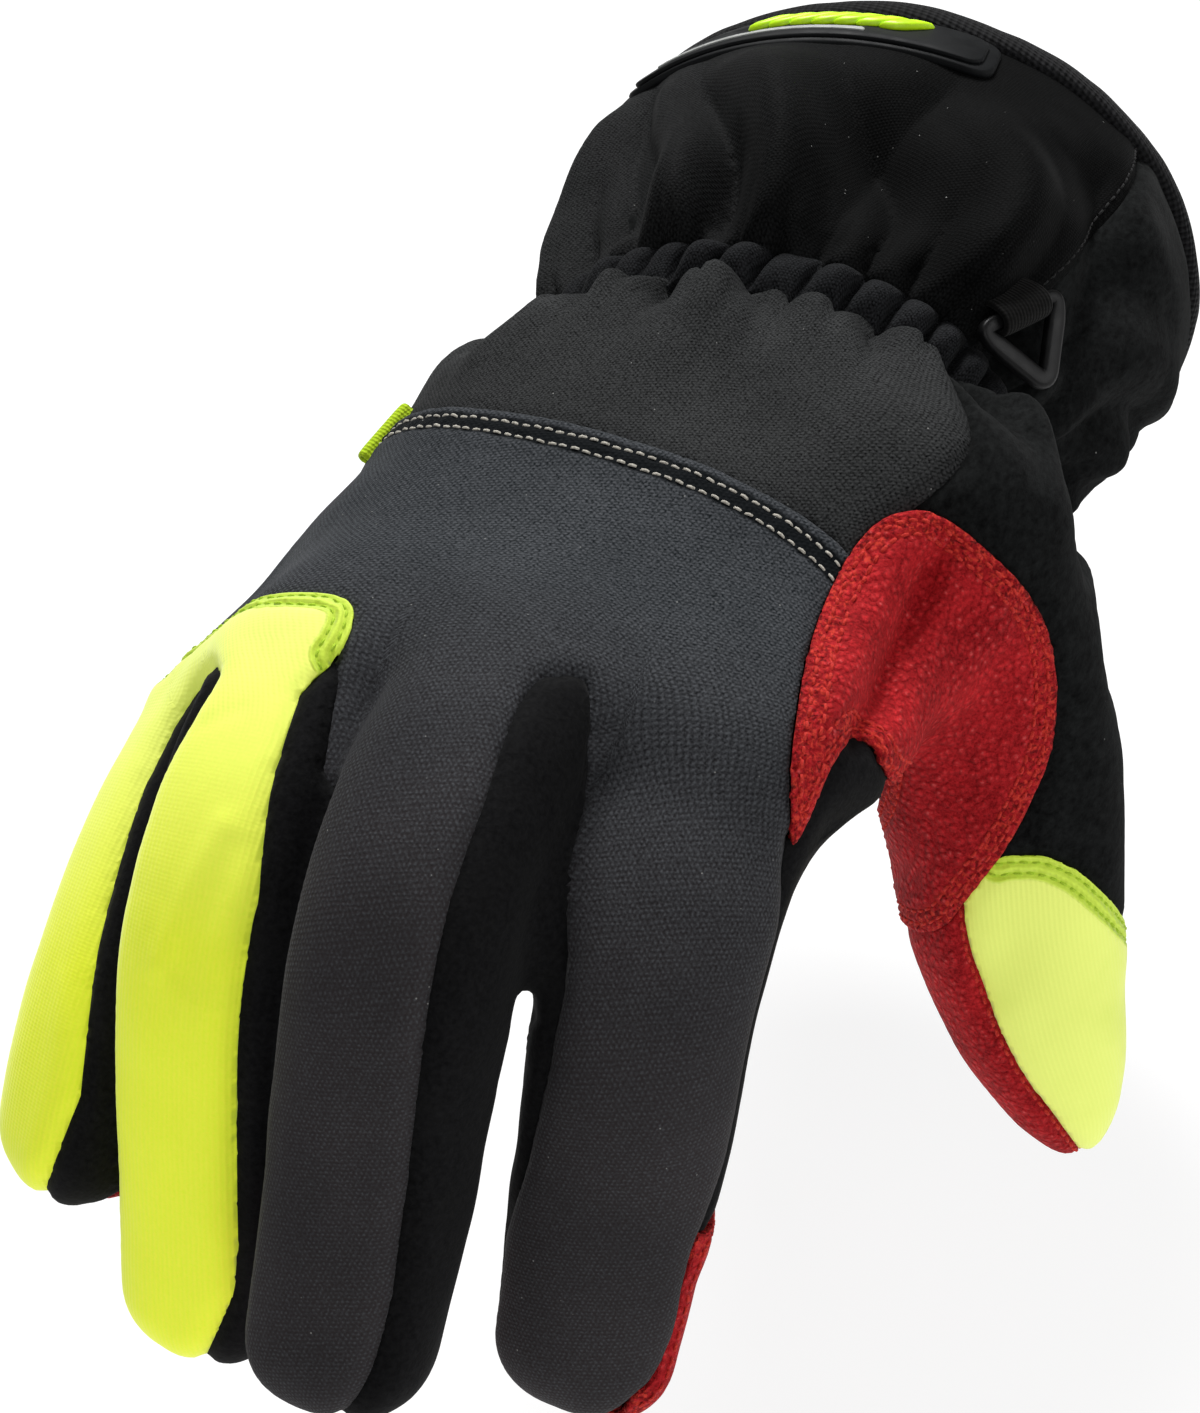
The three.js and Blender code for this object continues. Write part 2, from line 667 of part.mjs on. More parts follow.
// The webbing loop: a band folded round the ring's bar, its tail sewn flat on the wrist.
function ringLoop(clear) {
  const hole = RING_WIRE / 2 + RING_HOLE_CLEARANCE;
  const outside = hole + WEB_THICKNESS;
  const tail = 13;
  const shape = new THREE.Shape();
  shape.moveTo(0, outside);
  shape.absarc(0, 0, outside, Math.PI / 2, -Math.PI / 2, true);
  shape.lineTo(-tail, -WEB_THICKNESS);
  shape.lineTo(-tail, WEB_THICKNESS);
  const opening = new THREE.Path();
  opening.absarc(0, 0, hole, 0, 2 * Math.PI, false);
  shape.holes.push(opening);
  const options = { depth: WEB_WIDTH, bevelEnabled: false, curveSegments: 7 };
  const geometry = new THREE.ExtrudeGeometry(shape, options);
  geometry.translate(0, 0, -WEB_WIDTH / 2);
  const x = WEB_BACK.clone().addScaledVector(BAR_ALONG, -WEB_BACK.dot(BAR_ALONG)).normalize().negate();
  const y = BAR_ALONG.clone().cross(x);
  return largest(solid(placed(geometry, x, y, BAR_ALONG, BAR_CENTRE)).subtract(clear));
}

// The pull tab lies along the hem on the back of the cuff: a curved plate, and its plain raised ribs.
const SIDE_ANGLE = 360 / HAND_SIDES;
const TAB_FROM = -6 * SIDE_ANGLE * DEGREE;
const TAB_TO = 3 * SIDE_ANGLE * DEGREE;
const TAB_CLEAR = 2 * GAP;
const TAB_BACK = -9;
const TAB_FRONT = -23;
const TAB_THICKNESS = 2.2;

function cuffPlate(from, to, back, front, inner, outer, count) {
  const rings = [];
  for (let i = 0; i <= count; i += 1) {
    const angle = from + ((to - from) * i) / count;
    const ring = [[back, inner], [back, outer], [front, outer], [front, inner]].map(([y, out]) => {
      const at = sample(HAND, 'y', y);
      const [x, z] = sectionPoint(angle, at.half + out, at.top + out, at.bottom + out, at.power);
      return new THREE.Vector3(at.x + x, y, at.z + z);
    });
    rings.push(ring);
  }
  return solid(loft(rings));
}

function pullTab() {
  return cuffPlate(TAB_FROM, TAB_TO, TAB_BACK, TAB_FRONT, TAB_CLEAR, TAB_CLEAR + TAB_THICKNESS, 9);
}

function tabRibs() {
  const base = TAB_CLEAR + TAB_THICKNESS + GAP;
  const from = TAB_FROM + 3 * SIDE_ANGLE * DEGREE;
  const to = TAB_TO - 2 * SIDE_ANGLE * DEGREE;
  const ribs = 6;
  const pitch = (to - from) / ribs;
  const strip = cuffPlate(from, to, -12, -19, base, base + 0.5, 4);
  const bars = Array.from({ length: ribs }, (unused, i) => {
    const start = from + pitch * (i + 0.2);
    return cuffPlate(start, start + pitch * 0.6, -12.5, -18.5, base + 0.2, base + 1.3, 1);
  });
  return join([strip, ...bars]);
}

// The side tab: a short folded webbing loop in the seam on the little finger's side.
function sideTab(clear) {
  const shape = new THREE.Shape();
  shape.moveTo(-8, -1.4);
  shape.lineTo(4, -1.4);
  shape.absarc(4, 0, 1.4, -Math.PI / 2, Math.PI / 2, false);
  shape.lineTo(-8, 1.4);
  const options = { depth: 10, bevelEnabled: false, curveSegments: 5 };
  const geometry = new THREE.ExtrudeGeometry(shape, options);
  geometry.translate(0, 0, -5);
  const out = new THREE.Vector3(-0.86, 0.1, 0.45).normalize();
  const along = new THREE.Vector3(-0.25, -0.95, -0.15);
  along.addScaledVector(out, -along.dot(out)).normalize();
  const thick = along.clone().cross(out);
  return largest(solid(placed(geometry, out, thick, along, new THREE.Vector3(-61, -113.5, 18))).subtract(clear));
}

// Colours of the cloths and the moulded pieces
const FINISHES = {
  softshell: new THREE.MeshStandardMaterial({ color: 0x1b1b1d, roughness: 0.9, metalness: 0 }),
  grey: new THREE.MeshStandardMaterial({ color: 0x4a4a50, roughness: 0.9, metalness: 0 }),
  yellow: new THREE.MeshStandardMaterial({ color: 0xdcf23c, roughness: 0.85, metalness: 0 }),
  red: new THREE.MeshStandardMaterial({ color: 0xc5262b, roughness: 0.9, metalness: 0 }),
  fleece: new THREE.MeshStandardMaterial({ color: 0x121213, roughness: 1, metalness: 0 }),
  palm: new THREE.MeshStandardMaterial({ color: 0x18181a, roughness: 0.85, metalness: 0 }),
  lime: new THREE.MeshStandardMaterial({ color: 0xa8d816, roughness: 0.7, metalness: 0 }),
  rubber: new THREE.MeshStandardMaterial({ color: 0x1e2226, roughness: 0.5, metalness: 0 }),
  plastic: new THREE.MeshStandardMaterial({ color: 0x131314, roughness: 0.35, metalness: 0 }),
};
const FINISH_OF = {
  saddle_patch: 'red',
  thumb_tip_panel: 'yellow',
  thumb_pad: 'red',
  thumb_fleece_panel: 'fleece',
  hi_vis_panel: 'yellow',
  back_panel: 'grey',
  palm_panel: 'palm',
  cuff_palm: 'fleece',
  fingertip_index: 'red',
  fingertip_middle: 'red',
  fingertip_ring: 'red',
  fingertip_little: 'red',
  pull_tab: 'rubber',
  tab_ribs: 'lime',
  side_tab: 'lime',
  clip_ring: 'plastic',
};

const GATHER_CLEAR = GATHER_BULGE + GAP + 0.6;
const clearOfGlove = join([
  gloveForm(GAP, true),
  handLoft([GATHER_END - GAP, GATHER_START + GAP], HAND_SIDES, -GATHER_CLEAR, false),
  handLoft(CUFF_STATIONS, HAND_SIDES, -GAP, true),
]);
const pieces = {
  ...handPanels(),
  ...cuffPanels(),
  cuff_hem: hem(),
  wrist_gathers: wristGathers(),
  pull_tab: pullTab(),
  tab_ribs: tabRibs(),
  side_tab: sideTab(clearOfGlove),
  ring_loop: ringLoop(clearOfGlove),
  clip_ring: clipRing(),
};

const glove = new THREE.Group();
for (const [name, body] of Object.entries(pieces)) {
  const mesh = new THREE.Mesh(geometryOf(body), FINISHES[FINISH_OF[name] ?? 'softshell'].clone());
  mesh.name = name;
  glove.add(mesh);
}

export default glove;
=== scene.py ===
import json
import math

import bpy
import numpy as np
from mathutils import Matrix, Vector
from mathutils.kdtree import KDTree


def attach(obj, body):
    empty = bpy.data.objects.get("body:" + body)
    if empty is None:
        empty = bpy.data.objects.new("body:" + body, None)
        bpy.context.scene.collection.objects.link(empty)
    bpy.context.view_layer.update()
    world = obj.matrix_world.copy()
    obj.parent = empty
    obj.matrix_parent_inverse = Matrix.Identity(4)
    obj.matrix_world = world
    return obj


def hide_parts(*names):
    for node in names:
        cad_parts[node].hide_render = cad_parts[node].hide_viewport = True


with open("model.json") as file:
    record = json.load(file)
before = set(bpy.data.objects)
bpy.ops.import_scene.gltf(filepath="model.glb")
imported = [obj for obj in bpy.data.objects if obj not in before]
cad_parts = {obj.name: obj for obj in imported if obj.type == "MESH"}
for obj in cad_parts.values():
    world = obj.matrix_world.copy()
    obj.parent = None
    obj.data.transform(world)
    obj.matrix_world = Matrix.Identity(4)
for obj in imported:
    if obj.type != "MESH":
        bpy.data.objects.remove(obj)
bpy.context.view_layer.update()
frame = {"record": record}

MM = 0.001
TINY = 1e-6
SMALL = 1e-4
BODY = "glove"

# The form of the glove, in millimetres, in the frame of the CAD.
# Sections across the cuff and the hand: y, centre in x and z, half width, height above and below, roundness.
HAND = np.array([
    (-185, -14.5, 2.0, 50.0, 15.0, 9.0, 2.3),
    (-160, -15.0, 4.5, 53.0, 20.5, 11.0, 2.3),
    (-140, -13.5, 4.5, 54.0, 22.5, 16.0, 2.2),
    (-115, -10.0, 4.5, 52.5, 27.5, 24.5, 2.15),
    (-98, -7.0, 5.0, 49.5, 32.5, 28.5, 2.1),
    (-92, -6.0, 5.5, 48.5, 33.5, 29.5, 2.1),
    (-78, -4.5, 6.5, 46.0, 34.0, 32.0, 2.1),
    (-65, -2.5, 7.0, 49.0, 37.5, 35.0, 2.1),
    (-46, -1.0, 7.0, 56.0, 43.5, 42.0, 2.1),
    (-21, 0.0, 6.0, 59.5, 47.5, 47.5, 2.05),
    (0, 0.0, 0.0, 56.5, 51.0, 51.0, 2.0),
], float)
HAND_END = -171.0

# Fingers: start, yaw at both ends, pitch at the start, middle and end, length, three widths, roll.
FINGER_COLUMNS = (
    "x", "y", "z", "yaw0", "yaw1", "pitch0", "pitch1", "pitch2", "length", "width0", "width1", "width2",
    "roll",
)
FINGERS = {
    "index": (13.8, -155, 4.8, 1.7, -1.4, 1, 67, 63, 106, 32.5, 31, 26.5, 6),
    "middle": (-15, -158, 10.3, -3.7, 6.2, -20, 61, 50, 118, 31.8, 31.5, 26.5, 0),
    "ring": (-44, -163, 7.7, -4.5, 10.6, -5, 72, 76, 116.5, 31.6, 29.4, 26.5, -10),
    "little": (-61.6, -153.4, -0.8, -7, -7.6, 17, 41, 68, 90.5, 26.4, 26, 24.4, -22),
}
FINGER_FLATNESS = 0.86
FINGER_SHAPE = {"power": 2.5, "cap": 12.0, "cap_power": 2.5, "root": 28.0}
# Sections of the thumb: centre, half width and half height.
THUMB = np.array([
    (32, -106, 10, 24, 20),
    (40, -108.5, -5, 22, 20),
    (47, -112.5, -18.5, 20.5, 19),
    (52.5, -117.5, -32, 19.3, 18),
    (57, -123.5, -45, 18, 16.5),
    (63, -129, -58, 15.2, 14),
    (69.5, -133, -70, 11.5, 11),
    (76, -138.5, -81, 5.5, 5.5),
], float)
THUMB_ACROSS = np.array((0.92, 0.35, 0.15))
THUMB_SHAPE = {"power": 2.3, "cap": 9.0, "cap_power": 2.0, "root": 28.0}
LINE_STEPS = 48
FINGER_BLEND = 3.0
ROOT_BLEND = 9.0
THUMB_BLEND = 10.0
PALM_BLEND = 8.0
FAR = 40.0
DEEP = -30.0
LINE_MARGIN = 32.0

# Elastic channel at the wrist
GATHER_TOP = -74.2
GATHER_END = -82.0
GATHER_COUNT = 40
HEM_WIDTH = 8.0

GRID = 1.1
GRID_COARSE = 4
ROUGH_REACH = 1.8
CHUNK = 60000
SHELL = 1.6
FORM_LOW = (-92, -255, -90)
FORM_HIGH = (90, 6, 64)


# Curves through tables
def smooth_rows(table, keys):
    """Cubic through the rows of a table, whose first column is the key."""
    x = table[:, 0]
    y = table[:, 1:]
    gaps = np.diff(x)[:, None]
    chords = np.diff(y, axis=0) / gaps
    slopes = np.empty_like(y)
    slopes[0] = chords[0]
    slopes[-1] = chords[-1]
    slopes[1:-1] = (y[2:] - y[:-2]) / (x[2:] - x[:-2])[:, None]
    keys = np.clip(keys, x[0], x[-1])
    i = np.clip(np.searchsorted(x, keys) - 1, 0, len(x) - 2)
    gap = gaps[i]
    t = (keys - x[i])[:, None] / gap
    return (
        (2 * t**3 - 3 * t**2 + 1) * y[i]
        + (t**3 - 2 * t**2 + t) * gap * slopes[i]
        + (-2 * t**3 + 3 * t**2) * y[i + 1]
        + (t**3 - t**2) * gap * slopes[i + 1]
    )


def smooth_min(a, b, width):
    """The smaller of two distances, with a round fillet where they meet."""
    share = np.clip(0.5 + 0.5 * (b - a) / width, 0, 1)
    return b * (1 - share) + a * share - width * share * (1 - share)


def smooth_max(a, b, width):
    return -smooth_min(-a, -b, width)


def unit(vectors):
    return vectors / np.linalg.norm(vectors, axis=-1, keepdims=True)


def run_along(points):
    """How far along a line of points each one lies."""
    return np.concatenate([[0], np.cumsum(np.linalg.norm(np.diff(points, axis=0), axis=1))])


class Line:
    """The line of a finger or the thumb, with its section's directions and sizes."""

    def __init__(self, run, centre, along, across, up, half, high, shape):
        self.run = run
        self.centre = centre
        self.along = along
        self.across = across
        self.up = up
        self.half = half
        self.high = high
        self.shape = shape
        self.length = run[-1]

    def local(self, points):
        """Across, up and along coordinates of points, and the half width and height there."""
        near = -2 * points @ self.centre.T + (self.centre**2).sum(1)
        i = np.clip(near.argmin(1), 1, len(self.run) - 2)
        ahead = ((points - self.centre[i]) * self.along[i]).sum(1)
        share = np.clip(ahead / (self.run[1] - self.run[0]), -1, 1)
        j = np.where(share > 0, i + 1, i - 1)
        w = np.abs(share)
        mix = lambda a: a[i] * (1 - w) + a[j] * w
        mix3 = lambda a: a[i] * (1 - w)[:, None] + a[j] * w[:, None]
        relative = points - mix3(self.centre)
        u = (relative * mix3(self.across)).sum(1)
        v = (relative * mix3(self.up)).sum(1)
        s = mix(self.run) + (relative * mix3(self.along)).sum(1)
        return u, v, s, mix(self.half), mix(self.high)

    def distance(self, points):
        """Distance from the tube round the line, negative inside."""
        low = self.centre.min(0) - LINE_MARGIN
        high = self.centre.max(0) + LINE_MARGIN
        result = np.full(len(points), FAR)
        inside = np.all((points > low) & (points < high), axis=1)
        if not inside.any():
            return result
        u, v, s, half, thick = self.local(points[inside])
        n = self.shape["power"]
        cap = self.shape["cap"]
        root = self.shape["root"]
        m = self.shape["cap_power"]
        end = np.maximum(0, (s - (self.length - cap)) / cap) + np.maximum(0, -s / root)
        a = np.abs(u) / half + TINY
        b = np.abs(v) / thick + TINY
        flat = (a**n + b**n) ** (1 / n)
        full = (flat**m + end**m) ** (1 / m)
        slope = flat ** (1 - n) * np.hypot(a ** (n - 1) / half, b ** (n - 1) / thick)
        end_slope = np.where(end > 0, (end / full) ** (m - 1) / np.where(s < 0, root, cap), 0)
        total = np.hypot((flat / full) ** (m - 1) * slope, end_slope)
        result[inside] = np.clip((full - 1) / np.maximum(total, SMALL), DEEP, FAR)
        return result

    def angle(self, points):
        """Degrees from the middle of the back, the thumb side positive, and the place along the line."""
        u, v, s, half, high = self.local(points)
        return np.degrees(np.arctan2(u / half, v / high)), s, (half + high) / 2


def finger_line(values):
    """The bent line of one finger, from its row of the table."""
    row = dict(zip(FINGER_COLUMNS, values))
    share = np.linspace(0, 1, LINE_STEPS)
    pitch = np.radians(np.interp(share, (0, 0.5, 1), (row["pitch0"], row["pitch1"], row["pitch2"])))
    yaw = np.radians(row["yaw0"] + (row["yaw1"] - row["yaw0"]) * share)
    along = np.stack([np.sin(yaw) * np.cos(pitch), -np.cos(yaw) * np.cos(pitch), -np.sin(pitch)], -1)
    steps = (along[1:] + along[:-1]) / 2 * (row["length"] / (LINE_STEPS - 1))
    centre = np.array((row["x"], row["y"], row["z"])) + np.vstack([np.zeros((1, 3)), np.cumsum(steps, 0)])
    side = np.stack([np.cos(yaw), np.sin(yaw), np.zeros_like(yaw)], -1)
    top = np.cross(along, side)
    top = np.where(top[:, 2:3] < 0, -top, top)
    roll = math.radians(row["roll"])
    across = side * math.cos(roll) - top * math.sin(roll)
    up = side * math.sin(roll) + top * math.cos(roll)
    half = np.interp(share, (0, 0.5, 1), (row["width0"], row["width1"], row["width2"])) / 2
    return Line(share * row["length"], centre, along, across, up, half, half * FINGER_FLATNESS, FINGER_SHAPE)


def thumb_line():
    """The line of the thumb, through the middles of its sections."""
    run = run_along(THUMB[:, :3])
    table = np.column_stack([run, THUMB])
    s = np.linspace(0, run[-1], LINE_STEPS)
    rows = smooth_rows(table, s)
    centre = rows[:, :3]
    along = unit(np.gradient(centre, axis=0))
    across = unit(THUMB_ACROSS - (along @ THUMB_ACROSS)[:, None] * along)
    return Line(s, centre, along, across, np.cross(along, across), rows[:, 3], rows[:, 4], THUMB_SHAPE)


LINES = {name: finger_line(values) for name, values in FINGERS.items()}
THUMB_LINE = thumb_line()

# Webs of cloth between the roots of the fingers: end along the fingers, height of half the web
WEBS = {("index", "middle"): (47.5, 6.5), ("middle", "ring"): (44, 6.0), ("ring", "little"): (38, 5.0)}
WEB_SHAPE = {"power": 2.4, "cap": 16.0, "cap_power": 2.0, "root": 20.0}


def web_line(first, second, end, high):
    """A flat bar between two fingers that fills their fork."""
    a, b = LINES[first], LINES[second]
    run = np.linspace(0, end, LINE_STEPS)
    first_line, second_line = [
        np.stack([np.interp(run, line.run, line.centre[:, k]) for k in range(3)], -1) for line in (a, b)
    ]
    centre = (first_line + second_line) / 2
    along = unit(np.gradient(centre, axis=0))
    across = first_line - second_line
    half = np.linalg.norm(across, axis=1) / 2
    across = unit(across - (across * along).sum(1)[:, None] * along)
    up = np.cross(along, across)
    up = np.where(up[:, 2:3] < 0, -up, up)
    run = np.linspace(0, run_along(centre)[-1], LINE_STEPS)
    return Line(run, centre, along, across, up, half, np.full(LINE_STEPS, high), WEB_SHAPE)


WEB_LINES = [web_line(*pair, *sizes) for pair, sizes in WEBS.items()]


def hand_local(points):
    """Across and up coordinates in the hand's sections, with the section's row."""
    rows = smooth_rows(HAND[HAND[:, 0].argsort()], points[:, 1])
    return points[:, 0] - rows[:, 0], points[:, 2] - rows[:, 1], rows


def hand_distance(points):
    """Distance from the cuff and the hand, negative inside."""
    u, v, rows = hand_local(points)
    half, top, bottom, n = rows[:, 2:].T
    high = np.where(v > 0, top, bottom)
    a = np.abs(u) / half + TINY
    b = np.abs(v) / high + TINY
    full = (a**n + b**n) ** (1 / n)
    slope = full ** (1 - n) * np.hypot(a ** (n - 1) / half, b ** (n - 1) / high)
    distance = np.clip((full - 1) / np.maximum(slope, SMALL), -FAR, 1.5 * FAR)
    return smooth_max(distance, HAND_END - points[:, 1], PALM_BLEND)


def glove_distance(points):
    """Distance from the whole glove, negative inside, its parts blended into each other."""
    result = np.empty(len(points))
    for start in range(0, len(points), CHUNK):
        part = points[start:start + CHUNK]
        fingers = None
        for line in LINES.values():
            distance = line.distance(part)
            fingers = distance if fingers is None else smooth_min(fingers, distance, FINGER_BLEND)
        for line in WEB_LINES:
            fingers = smooth_min(fingers, line.distance(part), FINGER_BLEND)
        whole = smooth_min(hand_distance(part), fingers, ROOT_BLEND)
        result[start:start + CHUNK] = smooth_min(whole, THUMB_LINE.distance(part), THUMB_BLEND)
    return result


# The surface as a mesh: grid values near the surface only, then one vertex in each crossed cell.
def refined(cells):
    """Every coarse cell repeated for its fine cells."""
    return cells.repeat(GRID_COARSE, 0).repeat(GRID_COARSE, 1).repeat(GRID_COARSE, 2)


def corner_slices(corner, counts):
    """The part of a grid of nodes that holds one corner of every cell."""
    return tuple(slice(start, start + count) for start, count in zip(corner, counts))


def grid_values(form, low, counts, step):
    """Values of a form on a grid: fine near its surface, rough elsewhere."""
    rough_counts = [c // GRID_COARSE for c in counts]
    axes = [low[i] + step * GRID_COARSE * np.arange(rough_counts[i] + 1) for i in range(3)]
    places = np.stack(np.meshgrid(*axes, indexing="ij"), -1).reshape(-1, 3)
    rough = form(places).reshape([c + 1 for c in rough_counts])
    near = np.zeros(rough_counts, bool)
    for corner in np.ndindex(2, 2, 2):
        near |= np.abs(rough[corner_slices(corner, rough_counts)]) < GRID_COARSE * step * ROUGH_REACH
    nodes = np.zeros([c + 1 for c in counts], bool)
    for corner in np.ndindex(2, 2, 2):
        nodes[corner_slices(corner, counts)] |= refined(near)
    values = np.full(nodes.shape, FAR)
    values[:-1, :-1, :-1] = refined(rough[:-1, :-1, :-1])
    index = np.argwhere(nodes)
    values[nodes] = form(low + step * index)
    return values


# Steps from a grid edge to the four cells round it
ROUND_EDGE = ((0, 0), (1, 0), (1, 1), (0, 1))


def edge_crossings(values, inside, axis):
    """Places where the surface crosses edges along an axis, the cells round each, and which to flip."""
    a = [slice(None)] * 3
    b = [slice(None)] * 3
    a[axis] = slice(0, -1)
    b[axis] = slice(1, None)
    crossed = np.argwhere(inside[tuple(a)] != inside[tuple(b)])
    ahead = crossed.copy()
    ahead[:, axis] += 1
    first = values[tuple(crossed.T)]
    second = values[tuple(ahead.T)]
    place = crossed.astype(float)
    place[:, axis] += first / (first - second)
    others = [k for k in range(3) if k != axis]
    cells = []
    for da, db in ROUND_EDGE:
        cell = crossed.copy()
        cell[:, others[0]] -= da
        cell[:, others[1]] -= db
        cells.append(np.ravel_multi_index(cell.T, values.shape, mode="clip"))
    return place, np.stack(cells, -1), (first >= 0) ^ (axis == 1)


def surface_mesh(form, low, high, step):
    """Points and quads of the zero surface of a form."""
    low = np.asarray(low, float)
    counts = (np.ceil((np.asarray(high) - low) / step / GRID_COARSE) * GRID_COARSE).astype(int)
    values = grid_values(form, low, counts, step)
    inside = values < 0
    sums = np.zeros((values.size, 3))
    hits = np.zeros(values.size)
    quads = []
    for axis in range(3):
        place, quad, flip = edge_crossings(values, inside, axis)
        for number in quad.T:
            for k in range(3):
                sums[:, k] += np.bincount(number, place[:, k], values.size)
            hits += np.bincount(number, minlength=values.size)
        quad[flip] = quad[flip][:, ::-1]
        quads.append(quad)
    used, quads = np.unique(np.concatenate(quads), return_inverse=True)
    points = low + step * sums[used] / hits[used][:, None]
    return points, quads.reshape(-1, 4)


LEAST_SLOPE = 0.05


def gradient(form, points, reach=0.4):
    """How fast a form rises along x, y and z."""
    result = np.empty_like(points)
    for k in range(3):
        move = np.zeros(3)
        move[k] = reach
        result[:, k] = (form(points + move) - form(points - move)) / (2 * reach)
    return result


def settled(form, points):
    """Points moved onto the surface, with their normals."""
    for _ in range(2):
        slope = gradient(form, points)
        points = points - form(points)[:, None] * slope / np.maximum((slope**2).sum(1), LEAST_SLOPE)[:, None]
    return points, unit(gradient(form, points))


# Outlines and zones. Every zone is a function of points, positive inside and about in millimetres.
def rounded(outline, rounds=2):
    """A closed outline with its corners cut round."""
    points = np.asarray(outline, float)
    for _ in range(rounds):
        ahead = np.roll(points, -1, 0)
        points = np.stack([points * 0.75 + ahead * 0.25, points * 0.25 + ahead * 0.75], 1).reshape(-1, 2)
    return points


def outline_depth(outline, x, y):
    """Signed distance to a closed outline, positive inside."""
    a = outline
    b = np.roll(outline, -1, 0)
    place = np.stack([x, y], -1)
    nearest = np.full(len(x), np.inf)
    inside = np.zeros(len(x), bool)
    for p, q in zip(a, b):
        side = q - p
        share = np.clip(((place - p) @ side) / (side @ side), 0, 1)
        nearest = np.minimum(nearest, ((place - p - share[:, None] * side) ** 2).sum(1))
        crosses = (p[1] > y) != (q[1] > y)
        if p[1] != q[1]:
            inside ^= crosses & (x < (q[0] - p[0]) * (y - p[1]) / (q[1] - p[1]) + p[0])
    return np.where(inside, 1, -1) * np.sqrt(nearest)


def lowest(*values, width=1.5):
    """Inside all of the zones, with rounded corners."""
    result = values[0]
    for value in values[1:]:
        result = smooth_min(result, value, width)
    return result


def highest(*values, width=1.5):
    """Inside any of the zones, with rounded corners."""
    return -lowest(*[-v for v in values], width=width)


DEGREE_ARC = math.pi / 180

# Seams along the back of the fingers: angle at places along the finger, on the little-finger and thumb sides.
BACK_SEAMS = {
    "index": {
        "left": (
            (8, -40), (15, -43), (22, -46.4), (28.4, -43.6), (36.6, -39.9), (46.5, -41.1), (51, -42.6),
            (59, -47.1), (68, -53.4), (74, -62), (80, -72), (106, -76),
        ),
        "right": (
            (-2, 40), (7, 40), (12.5, 45), (15.4, 51), (17, 55), (19, 62), (22, 74), (28, 84), (60, 86),
            (68, 74), (74, 66.5), (81, 67), (88, 69), (93, 65), (97, 56), (99, 48), (106, 36),
        ),
    },
    "middle": {
        "left": ((10, -62), (22, -68), (35, -72), (118, -74)),
        "right": ((20, 24), (32, 29), (45, 28), (60, 30), (80, 33), (97, 35), (106, 32), (118, 22)),
    },
    "ring": {
        "left": ((12, -36), (15, -38.5), (20, -43.6), (27, -54), (45, -66), (116, -74)),
        "right": ((15, 20), (27, 27), (38, 37), (63, 38), (89, 39), (98, 36), (107, 22), (116, 10)),
    },
    "little": {
        "left": ((0, -95), (90, -95)),
        "right": (
            (13, 12), (16, 9), (20, 6.4), (25, 5.8), (29, 7.3), (34.5, 11.8), (42, 17.6), (51, 25), (64, 39),
            (71, 45), (84, 34), (90, 24),
        ),
    },
}
BACK_START = 10.0
SIDE_START = 6.0
SIDE_LOW = 5.0
SIDE_END = 138.0
INDEX_SIDE_START = -2.0
CLEAR = 30.0
TIP_LENGTH = {"index": 33.0, "middle": 26.0, "ring": 26.0, "little": 20.0}
TIP_WRAP = 102.0
TIP_EDGE = {"index": 45.0, "middle": 128.0, "ring": 120.0, "little": 112.0}

BACK_OUTLINE = rounded([
    (-95, -106), (-70, -107.5), (-57, -110.5), (-45, -115), (-33, -117.5), (-19, -119.5), (-2, -121.5),
    (12, -124), (24, -128), (50, -138), (54, -156), (50, -181), (24, -206), (8, -208), (4.7, -206),
    (4.8, -203.8), (4.8, -200.8), (4.4, -197.1), (3.6, -193.3), (2.8, -189.3), (2.1, -185.6), (1.2, -179),
    (-0.4, -172.5), (-3.2, -168.6), (-6.5, -171), (-12, -175), (-24, -178), (-29, -190), (-34, -191.5),
    (-35.6, -184.7), (-37.6, -177), (-39.4, -174.8), (-43, -170), (-60, -168), (-95, -167),
], 1)
HI_VIS_OUTLINE = rounded([
    (-45, -184), (-41.6, -178.6), (-39.2, -174.5), (-38.8, -170), (-40, -165.5), (-44, -163.6), (-52, -163.6),
    (-60, -162), (-95, -160), (-95, -184), (-68.3, -184), (-68, -180.4), (-67.2, -176), (-65.6, -172.7),
    (-63.2, -171.8), (-60.2, -173.6), (-57.2, -177.6), (-56.4, -180.5), (-57.2, -184),
])

# The lowest height at which a point counts as the back of the hand, along the hand.
UPPER_HAND = ((0, 2), (176, 2), (190, -9), (200, -14))

# The patch over the web of the thumb is drawn in the plane that faces it.
WEB_CENTRE = np.array((42.0, -134.0, 2.0))
WEB_FACING = unit(np.array((0.117, -0.755, 0.645)))
WEB_ACROSS = unit(np.cross((0, 0, 1), WEB_FACING))
WEB_UP = np.cross(WEB_FACING, WEB_ACROSS)
INDEX_LOBE = rounded([
    (-17.6, -21), (-19, -14), (-20, -7), (-20.3, 0), (-20.2, 7.5), (-19.2, 15), (-16.8, 23), (-13.6, 28),
    (-9.4, 30.5), (-4, 30), (-4, 20), (-6, 8), (-9.2, -2.2), (-10.6, -3.4), (-12.2, -4.8), (-13.9, -8),
    (-15.1, -15), (-16.4, -20.5),
], 1)
THUMB_LOBE = rounded([
    (-9.4, 30), (-5, 30.5), (-1, 29), (5.7, 24.5), (11.8, 19.5), (15.2, 14), (17.2, 5), (17.4, -4),
    (15.6, -11), (12.8, -19), (10, -24), (7.5, -28.5), (5, -33.5), (0, -35.5), (-10, -30), (-8.8, -19),
    (-7.4, -12), (-8.3, -6.5), (-9.8, -3), (-12, 8),
], 1)
SADDLE_NOTCH = rounded([(-9.6, -2.6), (-7.4, -7.5), (-5, -12), (-4.4, -24), (-14, -24), (-13.5, -8)], 1)

